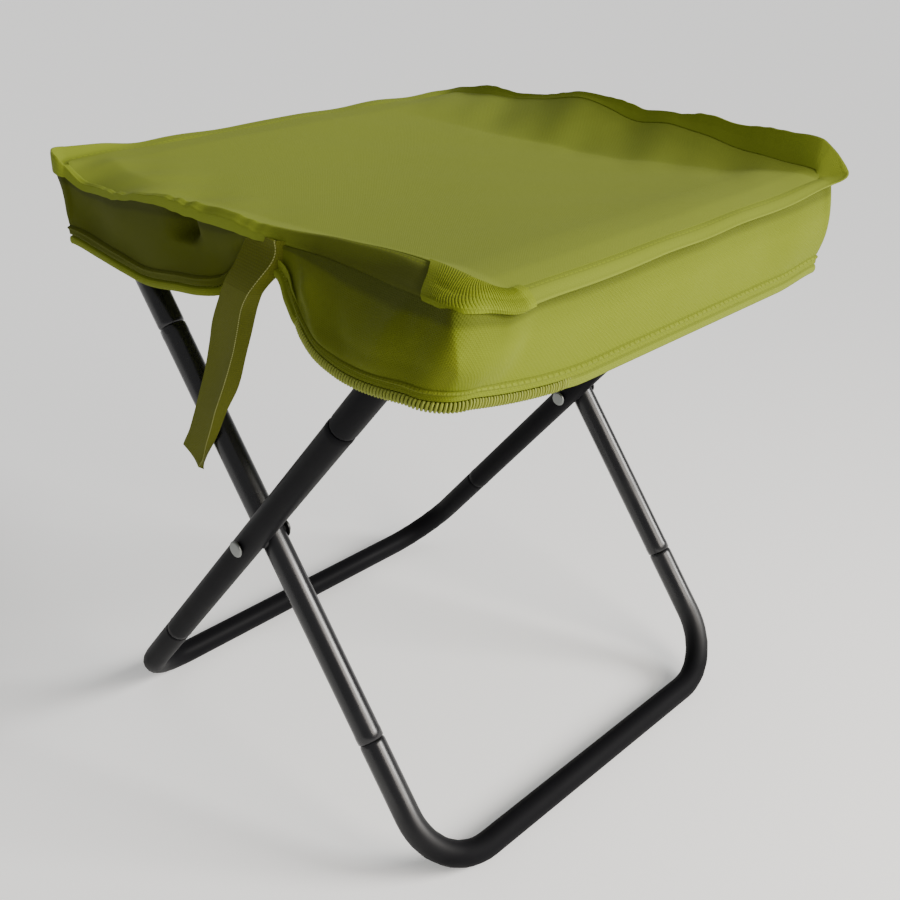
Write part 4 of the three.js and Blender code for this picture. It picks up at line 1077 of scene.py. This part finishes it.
def wall_lines(side):
    """Stations along one half's wall: the foot, the top and the direction out at each."""
    w, half = WALLS[side], dict(HALVES)[side]
    near_run, far_run = run_ends()["near"], run_ends()["far"]
    seat_near, seat_far = (near_run[1], far_run[0]) if side > 0 else (-near_run[0], -far_run[1])
    inner, far_inner = w["reach"] - w["corner"], w["reach"] - w["far_corner"]
    near_y, near_z = edge_at(w, inner)
    far_y = edge_at(FAR_END, far_inner)[0]
    side_low, side_high = near_y + w["corner"], far_y - w["far_corner"]
    stations = []

    def add(foot, run, share, way):
        mirrored = run not in ("near", "far") and side < 0
        top = under_rim(run, 1 - share if mirrored else share)
        stations.append((Vector((side * foot[0], foot[1], foot[2])), top, way if side > 0 else 180 - way))

    def shares(stretch):
        return [i / WALL_STEPS[stretch] for i in range(WALL_STEPS[stretch])]

    for t in shares("near"):
        x, seat_x = mix(w["x"][0], inner, t), side * mix(w["x"][0], seat_near, t)
        add((x, *edge_at(w, x)), "near", (seat_x - near_run[0]) / (near_run[1] - near_run[0]), -90)
    for t in shares("corner"):
        turn = math.pi / 2 * t
        add((inner + w["corner"] * math.sin(turn), near_y + w["corner"] * (1 - math.cos(turn)),
             near_z - CORNER_DROP * t), f"near_{half}", t, -90 + math.degrees(turn))
    for t in shares("side"):
        y = mix(side_low, side_high, t)
        lifted = max(0.0, (LIFT_END[side] - y) / (LIFT_END[side] - side_low)) ** LIFT_CURVE
        near_lift = (near_z - CORNER_DROP - SIDE_FOOT) * lifted
        far_lift = FAR_LIFT * ease((y - FAR_LIFT_START) / (side_high - FAR_LIFT_START))
        add((w["reach"], y, SIDE_FOOT + near_lift + far_lift), half, t, 0)
    for t in shares("far_corner"):
        turn = math.pi / 2 * t
        add((far_inner + w["far_corner"] * math.cos(turn), far_y - w["far_corner"] * (1 - math.sin(turn)),
             SIDE_FOOT + FAR_LIFT), f"far_{half}", t, math.degrees(turn))
    for t in (*shares("far"), 1.0):
        x, seat_x = mix(far_inner, FAR_END["x"][0], t), side * mix(seat_far, FAR_END["x"][0], t)
        add((x, *edge_at(FAR_END, x)), "far", (far_run[0] - seat_x) / (far_run[0] - far_run[1]), 90)
    return stations


lines = {side: wall_lines(side) for side, _ in HALVES}
line_memory = {}


def line_point(side, u):
    """At a share u of one half's line: the foot, the top, and the ways out from the wall and up it."""
    key = (side, round(u, 6))
    if key in line_memory:
        return line_memory[key]
    stations = lines[side]
    spot = min(max(u, 0.0), 1.0) * (len(stations) - 1)
    i = min(int(spot), len(stations) - 2)
    foot, top = (stations[i][n].lerp(stations[i + 1][n], spot - i) for n in (0, 1))
    way = math.radians(mix(stations[i][2], stations[i + 1][2], spot - i))
    along = (stations[min(len(stations) - 1, i + 2)][0] - stations[max(0, i - 1)][0]).normalized()
    out = Vector((math.cos(way), math.sin(way), 0))
    up = out.cross(along)
    if up.z < 0:
        up.negate()
    line_memory[key] = (foot, top, out, up.normalized())
    return line_memory[key]


def from_near(side, u):
    """The grid's share u, turned so that each half's line starts at the strap and its cloth faces out."""
    return u if side > 0 else 1 - u


print("Stations along each wall:", len(lines[1]))

# %% [markdown]
# Between its two lines a wall hangs in a belly with a few folds, and presses a crease at the near corner.
# Low down it is a hem, with a groove over the zip, a strip and a ridge beside the stitches. The hem has
# almost half of the rows, because its relief is the finest.

# %% The walls' surface
ZIP_HEIGHT, HEM_TOP = 4.7, 13.0
GROOVE_DEPTH, GROOVE_AT = 1.2, 5.2
STRIP_PROUD, STRIP_LOW, STRIP_HIGH = 0.7, 5.6, 11.4
RIDGE_PROUD, RIDGE_AT = 0.9, 10.0
HEM_ROWS, WALL_ROWS = 20, 26
HEM_SHARE = 0.148
CREASE_HEIGHT, CREASE_FOOT_DEG, CREASE_TOP_DEG, CREASE_WIDTH_DEG = 4.5, -29.5, -74.5, 45
POCKET_X, POCKET_DEPTH = -53, 11.0


def wall_share(v):
    """v counts rows. This runs over the hem from 0 to 1, and over the rest of the wall beyond it."""
    return v * (HEM_ROWS + WALL_ROWS) / HEM_ROWS


def hem_relief(height):
    """How far the hem's groove, strip and stitched ridge stand out at a height above the zip's edge."""
    strip = STRIP_PROUD * ease((height - STRIP_LOW) / 0.5) * ease((STRIP_HIGH - height) / 1.6)
    ridge = RIDGE_PROUD * hump(height, RIDGE_AT, 0.8) - 0.35 * hump(height, 11.3, 0.35)
    return strip + ridge - GROOVE_DEPTH * hump(height, GROOVE_AT, 0.55)


def drape(side, foot, share):
    """How far the wall stands out between its two lines, in mm: its belly, folds, puckers and ripples."""
    x, y = foot.x, foot.y
    near_end = ease((-y - 118) / 22)
    pocket = 0.0
    if side > 0:
        belly = mix(0.6, mix(1.8, 9.5, ease((x - 25) / 45)) - 5.0 * ease((x - 112) / 25), near_end)
        belly += 3.0 * ease((y - 100) / 45)
        fold = near_end * (1.8 * math.sin(x / 13 - 3.2 * share + 0.6) + 0.9 * math.sin(x / 6.5 + 3 * share))
        pucker = 0.8 * near_end * ease((x - 100) / 25) * math.sin(x / 2.6 + share * 2)
        pucker *= ease((share - 0.45) / 0.3)
        crest = 25 + 52 * (1 - share)
        slant_fold = near_end * (2.6 * hump(x, crest, 9) - 2.2 * hump(x, crest + 24, 12))
        fold = fold * 0.6 * ease((130 - x) / 30) + pucker + slant_fold
    else:
        belly = mix(2.6, -1.8, near_end)
        fold = near_end * (1.3 * math.sin(x / 15 + 2.4 * share) + 0.6 * math.sin(x / 7 - 2 * share))
        pocket = near_end * hump(x, POCKET_X, 7) * ease((share - 0.5) / 0.2) * ease((1.2 - share) / 0.25)
    ripples = (1 - near_end) * (0.35 * math.sin(y / 23 + 1.5 * share) + 0.2 * math.sin(y / 9.5 - 2 * share))
    bow = math.sin(math.pi * min(1.0, max(0.0, share)) ** 0.85)
    return (belly + fold + ripples) * bow - POCKET_DEPTH * pocket


print("The stitched ridge stands out", round(hem_relief(RIDGE_AT), 2), "mm")


# %% The walls, half by half
def wall_point(side, u, height_share):
    foot, top, out, up = line_point(side, u)
    tall = (top - foot).length
    hem_end = min(HEM_TOP, 0.45 * tall)
    if height_share <= 1:
        height = mix(ZIP_HEIGHT, hem_end, height_share)
    else:
        height = mix(hem_end, tall, (height_share - 1) * HEM_ROWS / WALL_ROWS)
    share = height / tall
    place = (foot + up * height).lerp(foot.lerp(top, share), ease(share / 0.45))
    if side > 0 > out.y:
        crease_way = mix(CREASE_FOOT_DEG, CREASE_TOP_DEG, share)
        from_crease = abs(math.degrees(math.atan2(out.y, out.x)) - crease_way) / CREASE_WIDTH_DEG
        place = place + out * (CREASE_HEIGHT * max(0.0, 1 - from_crease) ** 1.4 * ease((share - 0.2) / 0.35))
    full = min(1.0, tall / 38) ** 2
    return place + out * (drape(side, foot, (share - 0.18) / 0.82) * full + hem_relief(height) * (tall > 24))


def wall_rows(v):
    """The wall's height at v as a share of its cut height, so that its stitches keep their place."""
    hem, rest = min(1.0, wall_share(v)), max(0.0, wall_share(v) - 1)
    return HEM_SHARE * hem + (1 - HEM_SHARE) * rest * HEM_ROWS / WALL_ROWS


for side, half in HALVES:
    wall = cloth(f"cover_wall_{half}", 300, HEM_ROWS + WALL_ROWS,
                 lambda u, v: wall_point(side, from_near(side, u), wall_share(v)), (0.62, 0.056),
                 rows_at=wall_rows)
    folds_with_frame(wall)
    finish_piece(wall, wall_canvas if side > 0 else shaded_canvas,
                 stands_for=[f"end_wall_near_{half}", f"side_wall_{half}", f"end_wall_far_{half}"])
    print(f"Wall {half} made, faces:", len(wall.data.polygons))

# %% [markdown]
# ## The zip
#
# A tape lies behind the wall's hem and the coil closes the edge off. The coil is what it is on the real
# zip: one long wire wound round and round. At the front corner it faces out. Elsewhere the edge has
# rolled under, and the tape covers it.

# %% Tape and coil
TAPE_LOW, TAPE_HIGH, TAPE_SINK = 0.4, 9.6, 1.2
TAPE_TUCK, TAPE_BULGE, BULGE_TOP = -1.5, 1.2, 5.4
ROLL_X, ROLL_X_WIDTH, ROLL_Y, ROLL_Y_WIDTH = 42, 14, -62, 26
COIL_PITCH, COIL_WIRE, COIL_STEPS = 2.0, 0.78, 10
COIL_DEPTH, COIL_HALF, COIL_SINK = 0.95, 2.1, 0.2


def rolled_under(side, foot):
    """From 0 where the coil faces out to 1 where the tape covers it."""
    if side < 0:
        return 1.0
    return 1 - ease((foot.x - ROLL_X) / ROLL_X_WIDTH) * ease((ROLL_Y - foot.y) / ROLL_Y_WIDTH)


def tape_point(side, u, v):
    foot, _, out, up = line_point(side, u)
    height = mix(TAPE_LOW, TAPE_HIGH, v)
    bulge = TAPE_BULGE * math.sin(math.pi * min(1.0, height / BULGE_TOP)) ** 0.6
    low_part = mix(TAPE_TUCK, bulge, rolled_under(side, foot))
    offset = mix(low_part, -TAPE_SINK, ease((height - 4.6) / 0.9))
    return foot + up * height + out * offset


def coil_points(side):
    """The wire's places: turns of one pitch each, evenly spaced along the wall's foot."""
    feet = [foot for foot, _, _ in lines[side]]
    travelled = np.cumsum([0.0, *((b - a).length for a, b in zip(feet, feet[1:]))])
    steps = int(travelled[-1] / COIL_PITCH) * COIL_STEPS
    points = []
    for i in range(steps + 1):
        share = float(np.interp(travelled[-1] * i / steps, travelled, np.linspace(0, 1, len(feet))))
        foot, _, out, up = line_point(side, share)
        angle = 2 * math.pi * i / COIL_STEPS
        height = COIL_HALF + COIL_WIRE + COIL_HALF * math.sin(angle)
        sunk = COIL_SINK + TAPE_SINK * rolled_under(side, foot)
        points.append(at(*(foot + up * height + out * (COIL_DEPTH * math.cos(angle) - sunk))))
    return points


for side, half in HALVES:
    tape = cloth(f"zip_tape_{half}_woven", 300, 18, lambda u, v: tape_point(side, from_near(side, u), v),
                 (0.62, 0.0094), thickness=0.5)
    folds_with_frame(tape)
    finish_piece(tape, zip_tape_cloth, stands_for=[f"zip_tape_{half}"])
    points = coil_points(side)
    coil = tube_along(f"zip_coil_{half}_wound", points, [COIL_WIRE] * len(points), sides=8)
    folds_with_frame(coil)
    finish_piece(coil, coil_nylon, stands_for=[f"zip_coil_{half}"])
    print(f"Zip coil {half}: {len(points) // COIL_STEPS} turns, {len(coil.data.polygons)} faces")

# %% [markdown]
# ## Slider and pull
#
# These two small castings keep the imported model's shape. Each is copied, its loose triangles are merged,
# and its edges are rounded.


# %% Slider and pull
def rounded_copy(node, name, width):
    """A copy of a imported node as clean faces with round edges."""
    copy = frame["nodes"][node].copy()
    copy.data = copy.data.copy()
    copy.name = name
    bpy.context.collection.objects.link(copy)
    copy.parent = None
    copy.matrix_world = Matrix.Identity(4)
    for key in [k for k in copy.keys() if k.startswith("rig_")]:
        del copy[key]
    pick(copy)
    merge_near_points(0.005)
    bpy.ops.mesh.dissolve_limited(angle_limit=math.radians(3))
    bpy.ops.object.mode_set(mode="OBJECT")
    rounded(copy, width, 3, angle=40)
    smooth(40)
    return copy


for node, name, width in (("zip_slider", "slider_cast", 0.35), ("zip_pull", "pull_cast", 0.3)):
    casting = rounded_copy(node, name, width)
    finish_piece(casting, zip_enamel, node, [node])
    print(name, "faces:", len(casting.data.polygons))

# %% [markdown]
# ## The sling
#
# Under the seat, a sling with a hem round each top bar carries the weight. It is hidden from the front,
# but it shows from below. Its line goes round the left bar, over to the right bar and round that.

# %% Sling
SLING_LOOP, SLING_SAG = 9.6, SEAT_SAG - 0.8
SLING_LOW, SLING_HIGH = -100.0, 99.0
HEM_STEPS, SPAN_STEPS = 24, 40
TOP_DEG, HEM_WRAP_DEG = 90, 325


def round_bar(side, start, stop):
    """Points round a top bar, from one angle to another in degrees."""
    angles = [math.radians(mix(start, stop, i / HEM_STEPS)) for i in range(HEM_STEPS + 1)]
    return [(side * BAR_X + SLING_LOOP * math.cos(a), BAR_Z + SLING_LOOP * math.sin(a)) for a in angles]


span_x = [mix(-BAR_X, BAR_X, i / SPAN_STEPS) for i in range(1, SPAN_STEPS)]
span = [(x, BAR_Z + SLING_LOOP - SLING_SAG * (1 - (x / BAR_X) ** 2)) for x in span_x]
left_hem = round_bar(-1, TOP_DEG + HEM_WRAP_DEG, TOP_DEG)
sling_line = left_hem + span + round_bar(1, TOP_DEG, TOP_DEG - HEM_WRAP_DEG)


def sling_point(u, v):
    spot = u * (len(sling_line) - 1)
    i = min(int(spot), len(sling_line) - 2)
    x, z = (mix(sling_line[i][k], sling_line[i + 1][k], spot - i) for k in (0, 1))
    return x, mix(SLING_LOW, SLING_HIGH, v), z


sling = cloth("sling_cloth", len(sling_line) - 1, 24, sling_point, (0.39, 0.199), thickness=0.9)
folds_with_frame(sling)
finish_piece(sling, sling_canvas, stands_for=["sling_right", "sling_left"])
print("Sling made, points across:", len(sling_line))

# %% [markdown]
# ## The strap
#
# A length of webbing, folded along its length, hangs from the fold at the near end. Its left face is wide and
# its right face narrow and turned away, with a pale ridge where they meet: a row of short pale stitches on it
# is partly wear and partly a painted highlight. The sewn end belongs to the cover, and the hanging part can
# swing.

# %% Strap
STRAP_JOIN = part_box("strap")[1][2] / MM
STRAP_TOP, STRAP_TIP = 361.0, (218.5, 208)
STRAP_Y, STRAP_TOP_Y = LEG_LINE["b_near"] - TUBE_RADIUS - 2.4, -135.6
RIDGE_SHARE = 0.68
FOLD_DEPTH, FOLD_WAVE, SEWN_FLAT, FACE_BOW = 4.2, 1.2, 0.75, 0.7
BACK_DEPTH, BACK_DEEPER, BACK_TURN = 2.4, 4.0, 0.8
STRAP_Z = (209, 218, 231, 242, 256, 276, 296, 309, 325, 340, 351, 362)
STRAP_LEFT_X = (-70, -68, -60, -54.5, -48, -39, -32, -28, -20, -12, -10, -8)
STRAP_RIDGE_X = (-50, -44, -38, -32, -25, -14.5, -6, -2, 3, 13, 18, 16)
STRAP_RIGHT_X = (-50, -46, -37, -30, -22, -9, -1, 4, 10, 18, 23, 22)


def strap_point(t, v, top, tip_left, tip_right):
    """t runs down the strap and v across it, from its left edge over the ridge to its right edge."""
    z = mix(top, mix(tip_left, tip_right, v), t)
    left, ridge, right = (smooth_curve(STRAP_Z, values, z)
                          for values in (STRAP_LEFT_X, STRAP_RIDGE_X, STRAP_RIGHT_X))
    y = mix(STRAP_Y, STRAP_TOP_Y, ease((z - 333) / 26))
    folded = (FOLD_DEPTH + FOLD_WAVE * math.sin(z / 19)) * (1 - SEWN_FLAT * ease((z - 344) / 14))
    if v < RIDGE_SHARE:
        s = v / RIDGE_SHARE
        bow = FACE_BOW * math.sin(math.pi * s) * math.sin(z / 14)
        return mix(left, ridge, s), y - folded * s**1.6 + bow, z
    s = (v - RIDGE_SHARE) / (1 - RIDGE_SHARE)
    back = BACK_DEPTH + BACK_DEEPER * ease((z - 335) / 15)
    return mix(ridge, right, s), y - folded + (folded + back) * s**0.9 * BACK_TURN, z


SEWN_TIP = (STRAP_JOIN + 0.05, STRAP_JOIN + 0.05)
for name, top, tip, size, steps, body, node in (
        ("strap_sewn_end", STRAP_TOP, SEWN_TIP, (0.028, 0.038), 14, "strap_root", "strap_tab"),
        ("strap_hanging", STRAP_JOIN - 0.03, STRAP_TIP, (0.14, 0.038), 80, "strap", "strap")):
    hanging = cloth(name, steps, 34, lambda u, v: strap_point(1 - u, 1 - v, top, *tip), size, thickness=1.3)
    finish_piece(hanging, strap_webbing, body, [node])
    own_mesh(hanging)
    print(name, "faces:", len(hanging.data.polygons))
